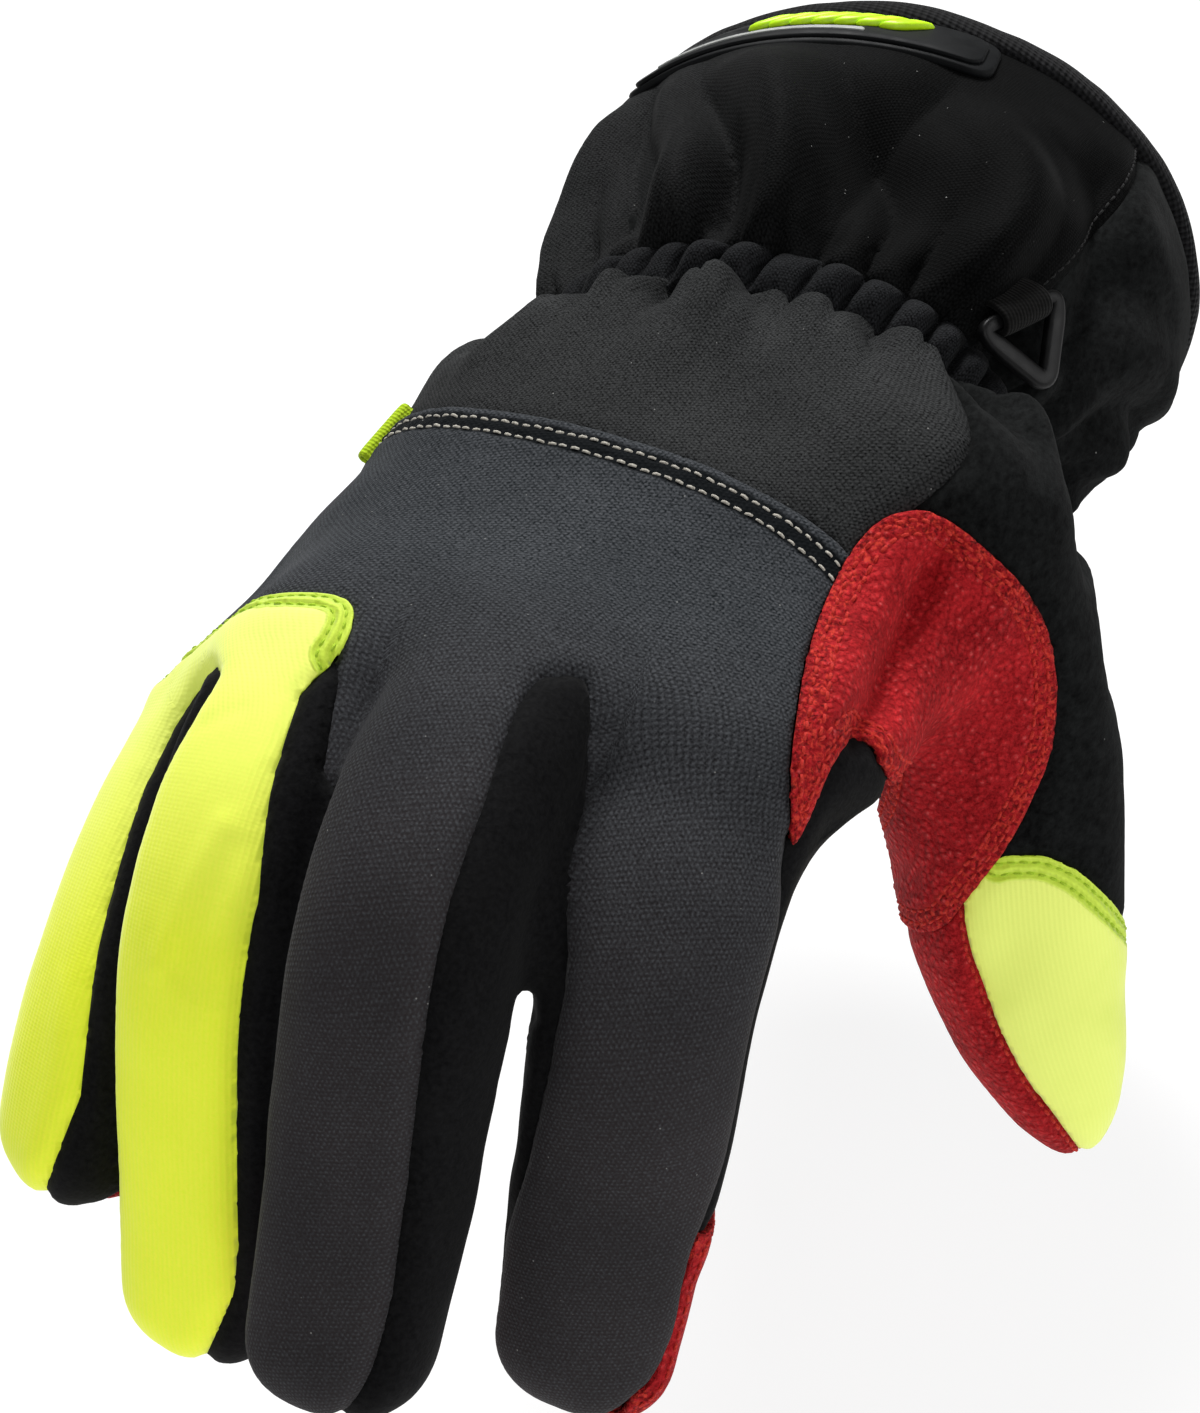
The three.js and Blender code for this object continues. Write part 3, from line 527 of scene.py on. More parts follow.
# How deep the lobes and the notch of that patch reach: depth at its middle, and change with height.
INDEX_FLOOR = (12.0, -0.75)
THUMB_FLOOR = (-26.0, 0.5)
NOTCH_FLOOR = (8.0, 0.0)

# Seams of the thumb: places along it at angles round it, or angles at places.
THUMB_TIP_TOP = (
    (-60, 53), (-30, 51), (-15, 48.5), (-6, 47.5), (6, 48), (16, 49.4), (27, 52), (34, 54.2), (42, 57),
    (51, 60), (61, 63.5), (75, 67), (125, 71),
)
THUMB_TIP_LEFT = ((47, -27), (55, -30), (66, -30), (77, -27), (91, -21), (101, -14), (107, -8))
THUMB_TIP_RIGHT = 125.0
THUMB_PAD_TOP = 56.0
THUMB_PAD_SIDE_TOP = 72.0
THUMB_PAD_TURN = 30.0
THUMB_PAD_RIGHT = 119.0
THUMB_SIDE_END = ((-60, 56), (0, 58), (40, 66), (138, 76))
THUMB_SIDE_LEFT = -20.0
THUMB_SIDE_START = 4.0
THUMB_REACH = 6.0

# Angles of the long seams round the hand and the cuff
FLEECE_SEAM = 41.0
CUFF_SEAM = 50.0
LITTLE_SIDE_SEAM = -84.0
PALM_SEAM = 118.0


def table_at(rows, keys):
    """Values between the rows of a table of keys and values."""
    rows = np.asarray(rows, float)
    return np.interp(keys, rows[:, 0], rows[:, 1])


def finger_zone(points, name, measure):
    """A zone on one finger alone: measure gets angle, place along it and arc length per degree."""
    distances = {key: line.distance(points) for key, line in LINES.items()}
    mine = distances[name] <= np.minimum.reduce(list(distances.values()))
    result = np.full(len(points), DEEP)
    if mine.any():
        angle, s, radius = LINES[name].angle(points[mine])
        result[mine] = measure(angle, s, radius * DEGREE_ARC)
    return result


def back_of(name):
    """The back of one finger, between the two seams along it."""
    def zone(points):
        def measure(angle, s, arc):
            left = table_at(BACK_SEAMS[name]["left"], s)
            right = table_at(BACK_SEAMS[name]["right"], s)
            return lowest((angle - left) * arc, (right - angle) * arc, s - BACK_START)
        return finger_zone(points, name, measure)
    return zone


def tip_of(name):
    """The patch that wraps one fingertip and leaves its back free."""
    def zone(points):
        def measure(angle, s, arc):
            start = LINES[name].length - TIP_LENGTH[name]
            thumb_side = np.where(angle > 0, (angle - TIP_EDGE[name]) * arc, CLEAR)
            other_side = np.where(angle < 0, (-TIP_WRAP - angle) * arc, CLEAR)
            return lowest(s - start, np.minimum(thumb_side, other_side))
        return finger_zone(points, name, measure)
    return zone


def side_of(name, side):
    """One side of a finger: 1 towards the thumb, -1 towards the little finger."""
    def zone(points):
        def measure(angle, s, arc):
            turned = angle * side
            return lowest((turned - SIDE_LOW) * arc, (SIDE_END - turned) * arc, s - SIDE_START)
        return finger_zone(points, name, measure)
    return zone


def plan_zone(outline):
    """What lies under an outline seen from above, on the back of the hand."""
    def zone(points):
        floor = table_at(UPPER_HAND, -points[:, 1])
        return lowest(outline_depth(outline, points[:, 0], points[:, 1]), points[:, 2] - floor, width=3)
    return zone


def lobe_zone(outline, floor):
    """What lies under an outline seen against the web of the thumb."""
    def zone(points):
        relative = points - WEB_CENTRE
        u = relative @ WEB_ACROSS
        v = relative @ WEB_UP
        depth = relative @ WEB_FACING
        return lowest(outline_depth(outline, u, v), depth - floor[0] - floor[1] * v)
    return zone


def union(*zones, width=1.5):
    return lambda points: highest(*[zone(points) for zone in zones], width=width)


def without(zone, hole):
    return lambda points: np.minimum(zone(points), -hole(points))


def off_index_side(zone):
    """A zone kept off the inner side of the index finger, where the palm comes round."""
    def kept(points):
        def measure(angle, s, arc):
            limit = (table_at(BACK_SEAMS["index"]["right"], s) - angle) * arc
            return np.where((s > INDEX_SIDE_START) & (angle > 0), limit, CLEAR)
        limit = finger_zone(points, "index", measure)
        return np.where(limit > DEEP, np.minimum(zone(points), limit), zone(points))
    return kept


def thumb_zone(measure):
    """A zone on the thumb: measure gets angle, place along it and arc length per degree."""
    def zone(points):
        angle, s, radius = THUMB_LINE.angle(points)
        value = measure(angle, s, radius * DEGREE_ARC)
        on_thumb = THUMB_LINE.distance(points) < THUMB_REACH
        return np.where(on_thumb, value, DEEP)
    return zone


def thumb_tip(angle, s, arc):
    top = table_at(THUMB_TIP_TOP, angle)
    left = table_at(THUMB_TIP_LEFT, s)
    return lowest(s - top, (angle - left) * arc, (THUMB_TIP_RIGHT - angle) * arc, width=3)


def thumb_pad(angle, s, arc):
    aside = angle > THUMB_PAD_TURN
    top = np.where(aside, THUMB_PAD_SIDE_TOP, THUMB_PAD_TOP)
    right = np.where(aside, (angle - THUMB_PAD_RIGHT) * arc, CLEAR)
    return lowest(s - top, right)


def thumb_side(angle, s, arc):
    end = table_at(THUMB_SIDE_END, angle)
    return lowest((angle - THUMB_SIDE_LEFT) * arc, (SIDE_END - angle) * arc, s - THUMB_SIDE_START, end - s)


def hand_wedge(low, high, start, end):
    """A zone round the hand between two angles in degrees and two places along y."""
    def zone(points):
        u, v, rows = hand_local(points)
        half, top = rows[:, 2], rows[:, 3]
        angle = np.degrees(np.arctan2(u / half, v / top))
        arc = (half + top) / 2 * DEGREE_ARC
        return lowest((angle - low) * arc, (high - angle) * arc, points[:, 1] - end, start - points[:, 1])
    return zone


HAND_ZONES = {
    "saddle_patch": without(
        union(lobe_zone(INDEX_LOBE, INDEX_FLOOR), lobe_zone(THUMB_LOBE, THUMB_FLOOR)),
        lobe_zone(SADDLE_NOTCH, NOTCH_FLOOR),
    ),
    "thumb_tip_panel": thumb_zone(thumb_tip),
    "thumb_pad": thumb_zone(thumb_pad),
    "thumb_fleece_panel": union(
        thumb_zone(thumb_side), hand_wedge(FLEECE_SEAM, PALM_SEAM, start=-60, end=-128),
    ),
    "hi_vis_panel": union(plan_zone(HI_VIS_OUTLINE), back_of("ring"), back_of("little")),
    "back_panel": off_index_side(union(plan_zone(BACK_OUTLINE), back_of("index"), back_of("middle"))),
    "fingertip_index": tip_of("index"),
    "fingertip_middle": tip_of("middle"),
    "fingertip_ring": tip_of("ring"),
    "fingertip_little": tip_of("little"),
    "fourchette_index_middle": union(side_of("index", -1), side_of("middle", 1)),
    "fourchette_middle_ring": union(side_of("middle", -1), side_of("ring", 1)),
    "fourchette_ring_little": union(side_of("ring", -1), side_of("little", 1)),
    "hand_back": hand_wedge(LITTLE_SIDE_SEAM, FLEECE_SEAM, start=-60, end=-150),
}


# Cutting the surface into panels
def sides_of(triangles):
    """The three sides of every triangle, each with its lower point first."""
    return np.sort(np.concatenate([triangles[:, pair] for pair in ([0, 1], [1, 2], [2, 0])]), axis=1)


def cut_triangles(cut, used, value, number):
    """The parts of cut triangles on both sides, where number gives the new points on their edges."""
    keep_in = []
    keep_out = []
    for row in cut:
        ring = []
        for k in range(3):
            p, q = int(row[k]), int(row[(k + 1) % 3])
            ring.append((int(used[p]), value[p]))
            middle = number.get((min(p, q), max(p, q)))
            if middle is not None:
                ring.append((middle, 0.0))
        for keep, side in ((keep_in, 1), (keep_out, -1)):
            part = [n for n, v in ring if v * side >= 0]
            for k in range(1, len(part) - 1):
                keep.append((part[0], part[k], part[k + 1]))
    return np.array(keep_in, int).reshape(-1, 3), np.array(keep_out, int).reshape(-1, 3)


class Surface:
    """Shared points and normals. Panels are lists of triangles on them."""

    def __init__(self, points, normals):
        self.points = points
        self.normals = normals

    def split(self, triangles, zone, snap=0.14):
        """The triangles inside a zone and those outside, cut along its edge."""
        used, local = np.unique(triangles, return_inverse=True)
        local = local.reshape(-1, 3)
        value = zone(self.points[used])
        value[np.abs(value) < snap] = 0
        sign = np.sign(value)[local]
        high = (sign > 0).sum(1)
        low = (sign < 0).sum(1)
        inside = [triangles[low == 0]]
        outside = [triangles[(high == 0) & (low > 0)]]
        mixed = (high > 0) & (low > 0)
        cut = local[mixed]
        edges = np.unique(sides_of(cut), axis=0)
        crossing = value[edges[:, 0]] * value[edges[:, 1]] < 0
        edges = edges[crossing]
        a, b = edges.T
        share = (value[a] / (value[a] - value[b]))[:, None]
        pa, pb = self.points[used[a]], self.points[used[b]]
        na, nb = self.normals[used[a]], self.normals[used[b]]
        start = len(self.points)
        self.points = np.vstack([self.points, pa + (pb - pa) * share])
        self.normals = np.vstack([self.normals, unit(na + (nb - na) * share)])
        number = {(int(p), int(q)): start + k for k, (p, q) in enumerate(edges)}
        kept_in, kept_out = cut_triangles(cut, used, value, number)
        return np.concatenate([*inside, kept_in]), np.concatenate([*outside, kept_out])


def cut_panels():
    """The surface of the glove and its panels' triangles, without the hem and the elastic channel."""
    points, quads = surface_mesh(glove_distance, FORM_LOW, FORM_HIGH, GRID)
    points, normals = settled(glove_distance, points)
    triangles = np.concatenate([quads[:, [0, 1, 2]], quads[:, [0, 2, 3]]])
    surface = Surface(points, normals)
    panels = {}
    _, rest = surface.split(triangles, lambda p: p[:, 1] + HEM_WIDTH / 2)
    cuff, rest = surface.split(rest, lambda p: p[:, 1] - GATHER_TOP)
    panels["cuff_back"], panels["cuff_palm"] = surface.split(
        cuff, hand_wedge(LITTLE_SIDE_SEAM, CUFF_SEAM, start=20, end=-200))
    _, rest = surface.split(rest, lambda p: p[:, 1] - GATHER_END)
    for name, zone in HAND_ZONES.items():
        panels[name], rest = surface.split(rest, zone)
    panels["palm_panel"] = rest
    return surface, panels


def edges_of(triangles):
    """The edges that belong to one triangle only."""
    edges, counts = np.unique(sides_of(triangles), axis=0, return_counts=True)
    return edges[counts == 1]


def seam_points(surface, panels):
    """Points along the seams: for each panel a table from its neighbours to the points of their seam."""
    names = list(panels)
    rims = [edges_of(panels[name]) for name in names]
    edges = np.concatenate(rims)
    owner = np.repeat(np.arange(len(names)), [len(rim) for rim in rims])
    key = edges[:, 0] * (len(surface.points) + 1) + edges[:, 1]
    order = key.argsort(kind="stable")
    paired = key[order][1:] == key[order][:-1]
    first = order[:-1][paired]
    second = order[1:][paired]
    seams = {name: {} for name in names}
    for a, b in {(int(p), int(q)) for p, q in zip(owner[first], owner[second])}:
        chosen = edges[first[(owner[first] == a) & (owner[second] == b)]]
        start, end = surface.points[chosen[:, 0]], surface.points[chosen[:, 1]]
        samples = np.concatenate([start, start * 0.67 + end * 0.33, start * 0.33 + end * 0.67, end])
        for p, q in ((a, b), (b, a)):
            known = seams[names[p]].get(names[q])
            seams[names[p]][names[q]] = samples if known is None else np.concatenate([known, samples])
    return seams


SEAM_REACH = 12.0


def point_tree(points):
    tree = KDTree(len(points))
    for k, place in enumerate(points.tolist()):
        tree.insert(place, k)
    tree.balance()
    return tree


def distance_to(samples, points):
    """Distance from each point to the nearest of the samples, where it is small."""
    result = np.full(len(points), FAR)
    if not len(samples):
        return result
    tree = point_tree(samples)
    near = np.all((points > samples.min(0) - SEAM_REACH) & (points < samples.max(0) + SEAM_REACH), axis=1)
    result[near] = [tree.find(place)[2] for place in points[near].tolist()]
    return result


# Relief of the cloth
def smooth_step(low, high, values):
    """0 before low and 1 after high; low may be the larger."""
    share = np.clip((values - low) / (high - low), 0, 1)
    return share * share * (3 - 2 * share)


def hill(values, centre, width):
    """A smooth bump of height 1."""
    return np.exp(-((values - centre) / width) ** 2)


def lattice_noise(points, size, seed):
    """Smooth noise between -1 and 1 with features of about the given size."""
    place = points / size
    cell = np.floor(place).astype(np.int64)
    share = place - cell
    share = share * share * (3 - 2 * share)
    total = np.zeros(len(points))
    for corner in np.ndindex(2, 2, 2):
        c = cell + np.array(corner)
        mixed = (c[:, 0] * 73856093) ^ (c[:, 1] * 19349663) ^ (c[:, 2] * 83492791) ^ (seed * 7919)
        mixed = (mixed ^ (mixed >> 13)) * 1274126177
        value = ((mixed >> 7) & 0xFFFF) / 32767.5 - 1
        weight = np.prod(np.where(np.array(corner) == 1, share, 1 - share), axis=1)
        total += weight * value
    return total


def rumple(points, layers):
    """Layers of noise laid over each other, each with its depth, size and seed."""
    return sum(depth * lattice_noise(points, size, seed) for depth, size, seed in layers)


def section_angle(points):
    """The angle round the hand's section, in radians from the middle of the back, and the mean radius."""
    u, v, rows = hand_local(points)
    half, top, bottom = rows[:, 2:5].T
    high = np.where(v > 0, top, bottom)
    return np.arctan2(u / half, v / high), (half + high) / 2


PUCKER_DRIFT = ((0.7, 3, 0.8), (0.5, 5, 2.1))


def pucker_turn(angle):
    """The angle warped so that the puckers of the elastic are uneven."""
    drift = sum(size * np.sin(count * angle + shift) for size, count, shift in PUCKER_DRIFT)
    return angle + drift / GATHER_COUNT


def pillow(turn):
    """A row of round swellings with sharp creases between them, one for each pucker."""
    place = (turn * GATHER_COUNT / (2 * math.pi)) % 1 * 2 - 1
    return np.sqrt(np.maximum(0, 1 - (place / PUCKER_SHARE) ** 2))


def pleat(phase):
    """A wave between -1 and 1 with round ridges and sharp valleys."""
    return 0.65 * (2 * np.abs(np.cos(phase / 2)) - 1) + 0.35 * np.cos(phase)


def swelling(distance, peak):
    """Rises from nothing to 1 at the peak and fades behind it."""
    share = np.maximum(0, distance) / peak
    return share * np.exp(1 - share)


# The elastic channel and the folds that leave it: count, shift, distance of the peak, depth
PUCKER_SHARE = 0.88
PILLOW_MEAN = 0.65
CUFF_FOLDS = ((17, 0.9, 8, 2.8), (11, -0.4, 13, 4.4), (7, 2.2, 22, 3.4))
HAND_FOLDS = ((17, 2.4, 5, 3.2), (11, 1.0, 9, 2.4))
CUFF_FADE = 200.0
HAND_FADE = 22.0
UNEVEN_FOLDS = ((0.5, 26, 5),)
FOLD_SWAY = 0.012
FOLD_SWAY_SIZE = 30
PUCKER_DEPTH = 3.2
PUCKER_FADE = 7.5
PINCH_DEPTH = 2.2
PINCH_FADE = 1.5
CHANNEL_SLACK = 0.5
HEM_REACH = (-34.0, -20.0)
HEM_CALM = 0.85


def wrist_folds(points):
    """Folds that run out of the elastic channel on both sides."""
    turn = pucker_turn(section_angle(points)[0])
    uneven = 1 + rumple(points, UNEVEN_FOLDS)
    result = np.zeros(len(points))
    for above, folds, fade in (
        (points[:, 1] - GATHER_TOP, CUFF_FOLDS, CUFF_FADE),
        (GATHER_END - points[:, 1], HAND_FOLDS, HAND_FADE),
    ):
        near = np.maximum(0, above)
        height = PUCKER_DEPTH * np.exp(-near / PUCKER_FADE) * (pillow(turn) - PILLOW_MEAN)
        height -= PINCH_DEPTH * np.exp(-near / PINCH_FADE)
        for count, shift, peak, depth in folds:
            sway = FOLD_SWAY * count * near * lattice_noise(points, FOLD_SWAY_SIZE, count)
            wave = pleat(count * turn + shift + sway)
            height += np.exp(-((near / fade) ** 2)) * uneven * depth * swelling(near, peak) * wave
        result += np.where(above > -CHANNEL_SLACK, height, 0)
    return result * (1 - HEM_CALM * smooth_step(*HEM_REACH, points[:, 1]))


# Broad hollows of the worn glove: centre, reach along x, y and z, depth
DENTS = (
    ((-58, -44, 16), (16, 15, 20), 4.8),
    ((-55, -56, 0), (22, 13, 34), 6.8),
    ((-48, -67, 22), (12, 9, 14), 5.5),
    ((-48, -86, 23), (14, 8, 14), 2.6),
    ((-50, -97, 22), (14, 9, 14), -3.4),
    ((-70, -143, 11), (17, 20, 17), 6.6),
    ((51, -42, -14), (12, 12, 12), 2.6),
    ((54, -49, -4), (9, 5, 8), 5.0),
    ((40, -71, 26), (6, 6, 6), 1.4),
    ((52, -82, 0), (16, 16, 22), 3.0),
    ((35.5, -168, 4), (9, 9, 9), 4.0),
    ((57, -140, -43), (5, 6, 8), 1.1),
)


def dents(points):
    """Height of the broad hollows, negative where the cloth is taken in."""
    result = np.zeros(len(points))
    for centre, reach, depth in DENTS:
        result -= depth * np.exp(-(((points - centre) / reach) ** 2).sum(1))
    return result


# Small creases and soft folds of the cloth: from, to, depth, width
CREASES = (
    ((-54.4, -187.4, 14.7), (-49.8, -185.3, 17.3), 0.25, 1.6),
    ((-45.5, -200.7, 9.8), (-50.8, -214.2, -7.2), -0.45, 2.0),
    ((-42.5, -203.5, 8.5), (-46, -215, -6), 0.35, 2.2),
    ((-70, -181, 1), (-66, -186, 3), 0.35, 1.4),
    ((-24, -160, 26), (-12, -164, 27), -0.45, 3.5),
    ((8, -150, 27), (22, -158, 25), 0.4, 3.5),
)


def creases(points):
    """Height of the small creases and folds."""
    result = np.zeros(len(points))
    for start, end, depth, width in CREASES:
        along = np.subtract(end, start)
        share = np.clip((points - start) @ along / (along @ along), 0, 1)
        away = np.linalg.norm(points - start - share[:, None] * along, axis=1)
        result -= depth * hill(away, 0, width)
    return result


# Creases across the fingers: places along each finger
BEND_CREASES = {
    "index": (38, 46, 54, 63),
    "middle": (40, 49, 58, 67),
    "ring": (40, 49, 58),
    "little": (30, 38, 47),
}
ON_FINGER = 4
BEND_ANGLES = (100, 145)
BEND_WANDER = ((1.6, 9, 21),)
BEND_DEPTH = 0.9
BEND_WIDTH = 1.3
BEND_RIDGE = 0.35
BEND_RIDGE_AHEAD = 4
BEND_RIDGE_WIDTH = 3.0


def bend_creases(points):
    """Creases across the inner side of the bent fingers."""
    result = np.zeros(len(points))
    for name, places in BEND_CREASES.items():
        near = LINES[name].distance(points) < ON_FINGER
        angle, s, _ = LINES[name].angle(points[near])
        along = s + rumple(points[near], BEND_WANDER)
        height = np.zeros(len(s))
        for place in places:
            ridge = BEND_RIDGE * hill(along, place + BEND_RIDGE_AHEAD, BEND_RIDGE_WIDTH)
            height += ridge - BEND_DEPTH * hill(along, place, BEND_WIDTH)
        result[near] += smooth_step(*BEND_ANGLES, np.abs(angle)) * height
    return result


# The crease of the web's patch: its line, then height, place, lean and width of it and of its ridges
SADDLE_VALLEY = ((-3, -10), (2, -8.8), (7, -7.6), (14, -5.5), (20, -4), (26, -3))
SADDLE_FOLDS = ((1.3, -6.5, 0.0, 3.2), (-3.3, 0.0, 0.0, 2.3), (1.2, 8.0, 0.15, 3.4))
SADDLE_WANDER = ((0.8, 7, 51),)
SADDLE_START = (-9, -1)
SADDLE_END = (31, 20)
SADDLE_FACING = (0.1, 0.5)
SADDLE_SLACK = 14


def saddle_folds(points, normals):
    """The crease down the middle of the web of the thumb, with a soft ridge on each side."""
    relative = points - WEB_CENTRE
    u, v = relative @ WEB_ACROSS, relative @ WEB_UP
    on_web = relative @ WEB_FACING > INDEX_FLOOR[0] + INDEX_FLOOR[1] * v - SADDLE_SLACK
    facing = smooth_step(*SADDLE_FACING, normals @ WEB_FACING) * on_web
    aside = u - table_at(SADDLE_VALLEY, v) + rumple(points, SADDLE_WANDER)
    ends = smooth_step(*SADDLE_START, v) * smooth_step(*SADDLE_END, v)
    height = sum(tall * hill(aside, place + lean * v, width) for tall, place, lean, width in SADDLE_FOLDS)
    return facing * ends * height


# Which panel is sewn on over which
LAPPED = {
    "hi_vis_panel": ("back_panel", "hand_back"),
    "back_panel": ("hand_back",),
    "thumb_tip_panel": ("thumb_fleece_panel",),
    "thumb_pad": ("palm_panel",),
}
TOP_PATCHES = ("saddle_patch",)
TIP_UNDER = ("palm_panel", "fourchette_index_middle", "fourchette_middle_ring", "fourchette_ring_little")

# The relief beside seams, by the distance from them
LAP_HEIGHT = 0.75
LOW_LAPS = {"thumb_tip_panel": 0.35, "hi_vis_panel": 0.6}
LAP_FADE = (4, 11)
LAP_ROUNDING = 0.7
LAP_ROUNDING_WIDTH = 0.9
STITCH_PULL = 0.5
STITCH_PULL_WIDTH = 0.5
UNDER_DEPTH = 0.55
UNDER_WIDTH = 1.6
SEAM_DEPTH = 1.0
SEAM_WIDTH = 1.2
PUFF_HEIGHT = 0.3
PUFF_PLACE = 4.0
PUFF_WIDTH = 2.4
CLOTH_RUMPLE = ((0.34, 17, 1), (0.12, 6.5, 2))


def laps_over(upper, lower):
    """Whether one panel is sewn on over another."""
    if upper in TOP_PATCHES:
        return True
    if upper.startswith("fingertip"):
        return lower in TIP_UNDER
    return lower in LAPPED.get(upper, ())


class Panel:
    """One cloth panel: its points, triangles and distances from its seams."""

    def __init__(self, name, surface, triangles, seams):
        self.name = name
        self.used, local = np.unique(triangles, return_inverse=True)
        self.faces = local.reshape(-1, 3)
        self.flat = surface.points[self.used]
        self.normals = surface.normals[self.used]
        self.seams = seams
        kinds = {"over": [], "under": [], "plain": []}
        for neighbour, samples in seams.items():
            over = laps_over(name, neighbour)
            kind = "plain" if over == laps_over(neighbour, name) else "over" if over else "under"
            kinds[kind].append(samples)
        self.edge = {kind: distance_to(np.concatenate(parts) if parts else [], self.flat)
                     for kind, parts in kinds.items()}
        self.points = self.flat + self.normals * self.relief()[:, None]

    def distance(self, neighbours):
        """Distance from the seams with some neighbours, or with all for None."""
        parts = [samples for name, samples in self.seams.items() if neighbours is None or name in neighbours]
        return distance_to(np.concatenate(parts) if parts else [], self.flat)

    def relief(self):
        """How far each point is moved out: seams, stitches, puckers, folds and dents."""
        over, under, plain = self.edge["over"], self.edge["under"], self.edge["plain"]
        fade = 1 - smooth_step(*LAP_FADE, over)
        rounding = 1 - LAP_ROUNDING * np.clip(1 - over / LAP_ROUNDING_WIDTH, 0, 1) ** 2
        height = LOW_LAPS.get(self.name, LAP_HEIGHT) * fade * rounding
        for row in STITCH_OFFSETS.get(self.name, ()):
            height -= STITCH_PULL * hill(over, row, STITCH_PULL_WIDTH)
        height -= UNDER_DEPTH * np.exp(-((under / UNDER_WIDTH) ** 2))
        height -= SEAM_DEPTH * np.exp(-((plain / SEAM_WIDTH) ** 2))
        height += PUFF_HEIGHT * hill(plain, PUFF_PLACE, PUFF_WIDTH)
        height += rumple(self.flat, CLOTH_RUMPLE)
        height += wrist_folds(self.flat) + bend_creases(self.flat) + saddle_folds(self.flat, self.normals)
        return height + dents(self.flat) + creases(self.flat)

    def normal_finder(self):
        """A function that gives the normal of the panel nearest to a place."""
        normals = vertex_normals(self.points, self.faces)
        tree = point_tree(self.points)
        return lambda place: normals[tree.find(place.tolist())[1]]


# Rows of stitches: the panel that they go through, its neighbours at that seam, distances from it, thread
STITCH_ROWS = (
    ("back_panel", ("hand_back",), (2.5, 5.1), "pale_thread"),
    ("hi_vis_panel", ("back_panel", "hand_back"), (0.93, 2.78), "lime_thread"),
    ("thumb_tip_panel", ("thumb_fleece_panel",), (0.93, 2.78), "lime_thread"),
    ("saddle_patch", None, (1.5, 3.6), "red_thread"),
    ("fingertip_index", None, (1.6,), "red_thread"),
    ("fingertip_middle", None, (1.6,), "red_thread"),
    ("fingertip_ring", None, (1.6,), "red_thread"),
    ("fingertip_little", None, (1.6,), "red_thread"),
    ("thumb_pad", ("thumb_tip_panel",), (0.7,), "red_thread"),
    ("cuff_back", ("cuff_palm",), (1.8,), "black_thread"),
)
STITCH_OFFSETS = {panel: offsets for panel, _, offsets, _ in STITCH_ROWS}
STITCH_LENGTH = 1.65
STITCH_PITCH = 2.1
STITCH_GRAIN = 0.25
LEAST_AREA = 1e-12
STITCH_HALF = {"pale_thread": 0.27, "lime_thread": 0.2, "red_thread": 0.3, "black_thread": 0.22}


def vertex_normals(points, faces):
    """Normals of a mesh, the larger faces counting for more."""
    corner = points[faces]
    face = np.cross(corner[:, 1] - corner[:, 0], corner[:, 2] - corner[:, 0])
    total = np.zeros_like(points)
    for k in range(3):
        np.add.at(total, faces[:, k], face)
    return unit(total + LEAST_AREA)


def level_crossings(points, faces, values, level):
    """The points on a mesh's edges where the values pass a level, and the links between them."""
    value = values[faces] - level
    rows = np.flatnonzero((value.min(1) < 0) & (value.max(1) >= 0))
    total = len(points)
    place = {}
    links = {}
    for row in rows:
        ends = []
        for k in range(3):
            p, q = int(faces[row, k]), int(faces[row, (k + 1) % 3])
            a, b = value[row, k], value[row, (k + 1) % 3]
            if (a < 0) != (b < 0):
                key = min(p, q) * total + max(p, q)
                place[key] = points[p] + (points[q] - points[p]) * (a / (a - b))
                ends.append(key)
        if len(ends) == 2:
            links.setdefault(ends[0], []).append(ends[1])
            links.setdefault(ends[1], []).append(ends[0])
    return place, links


def level_lines(points, faces, values, level):
    """Lines on a mesh where the values pass a level, as lists of points."""
    place, links = level_crossings(points, faces, values, level)
    lines = []
    while links:
        start = next((key for key, near in links.items() if len(near) == 1), None)
        if start is None:
            start = next(iter(links))
        chain = [start]
        while True:
            near = links.get(chain[-1], [])
            if not near:
                break
            ahead = near.pop()
            back = links.get(ahead, [])
            if chain[-1] in back:
                back.remove(chain[-1])
            if not near:
                links.pop(chain[-1], None)
            chain.append(ahead)
        links.pop(chain[-1], None)
        lines.append(np.array([place[key] for key in chain]))
    return lines


def resampled(line, step):
    """A line smoothed a little, with points at even steps."""
    for _ in range(3):
        line = np.vstack([line[:1], (line[:-2] + 2 * line[1:-1] + line[2:]) / 4, line[-1:]])
    run = run_along(line)
    places = np.arange(0, run[-1], step)
    return np.stack([np.interp(places, run, line[:, k]) for k in range(3)], -1)


def tube_faces(rings, sides, closed=False, capped=True):
    """Quads over rings of points, with both ends filled."""
    faces = []
    for i in range(rings if closed else rings - 1):
        j = (i + 1) % rings
        for k in range(sides):
            n = (k + 1) % sides
            faces.append((i * sides + k, i * sides + n, j * sides + n, j * sides + k))
    if capped and not closed:
        faces.append(tuple(reversed(range(sides))))
        faces.append(tuple((rings - 1) * sides + k for k in range(sides)))
    return faces


# A stitch in rings: share of its length, width and lift, then ranges of its small differences
STITCH_PROFILE = (
    (0.0, 0.35, -0.28), (0.16, 0.85, 0.05), (0.5, 1.0, 0.16), (0.84, 0.85, 0.05), (1.0, 0.35, -0.28),
)
STITCH_SIDES = 6
STITCH_FLATNESS = 0.8
STITCH_SHIFT = (-0.4, 0.4)
STITCH_RISE = (-0.03, 0.05)
STITCH_SPREAD = (-0.1, 0.1)
STITCH_SKEW = (-0.12, 0.12)
SHORTEST_LINE = 4


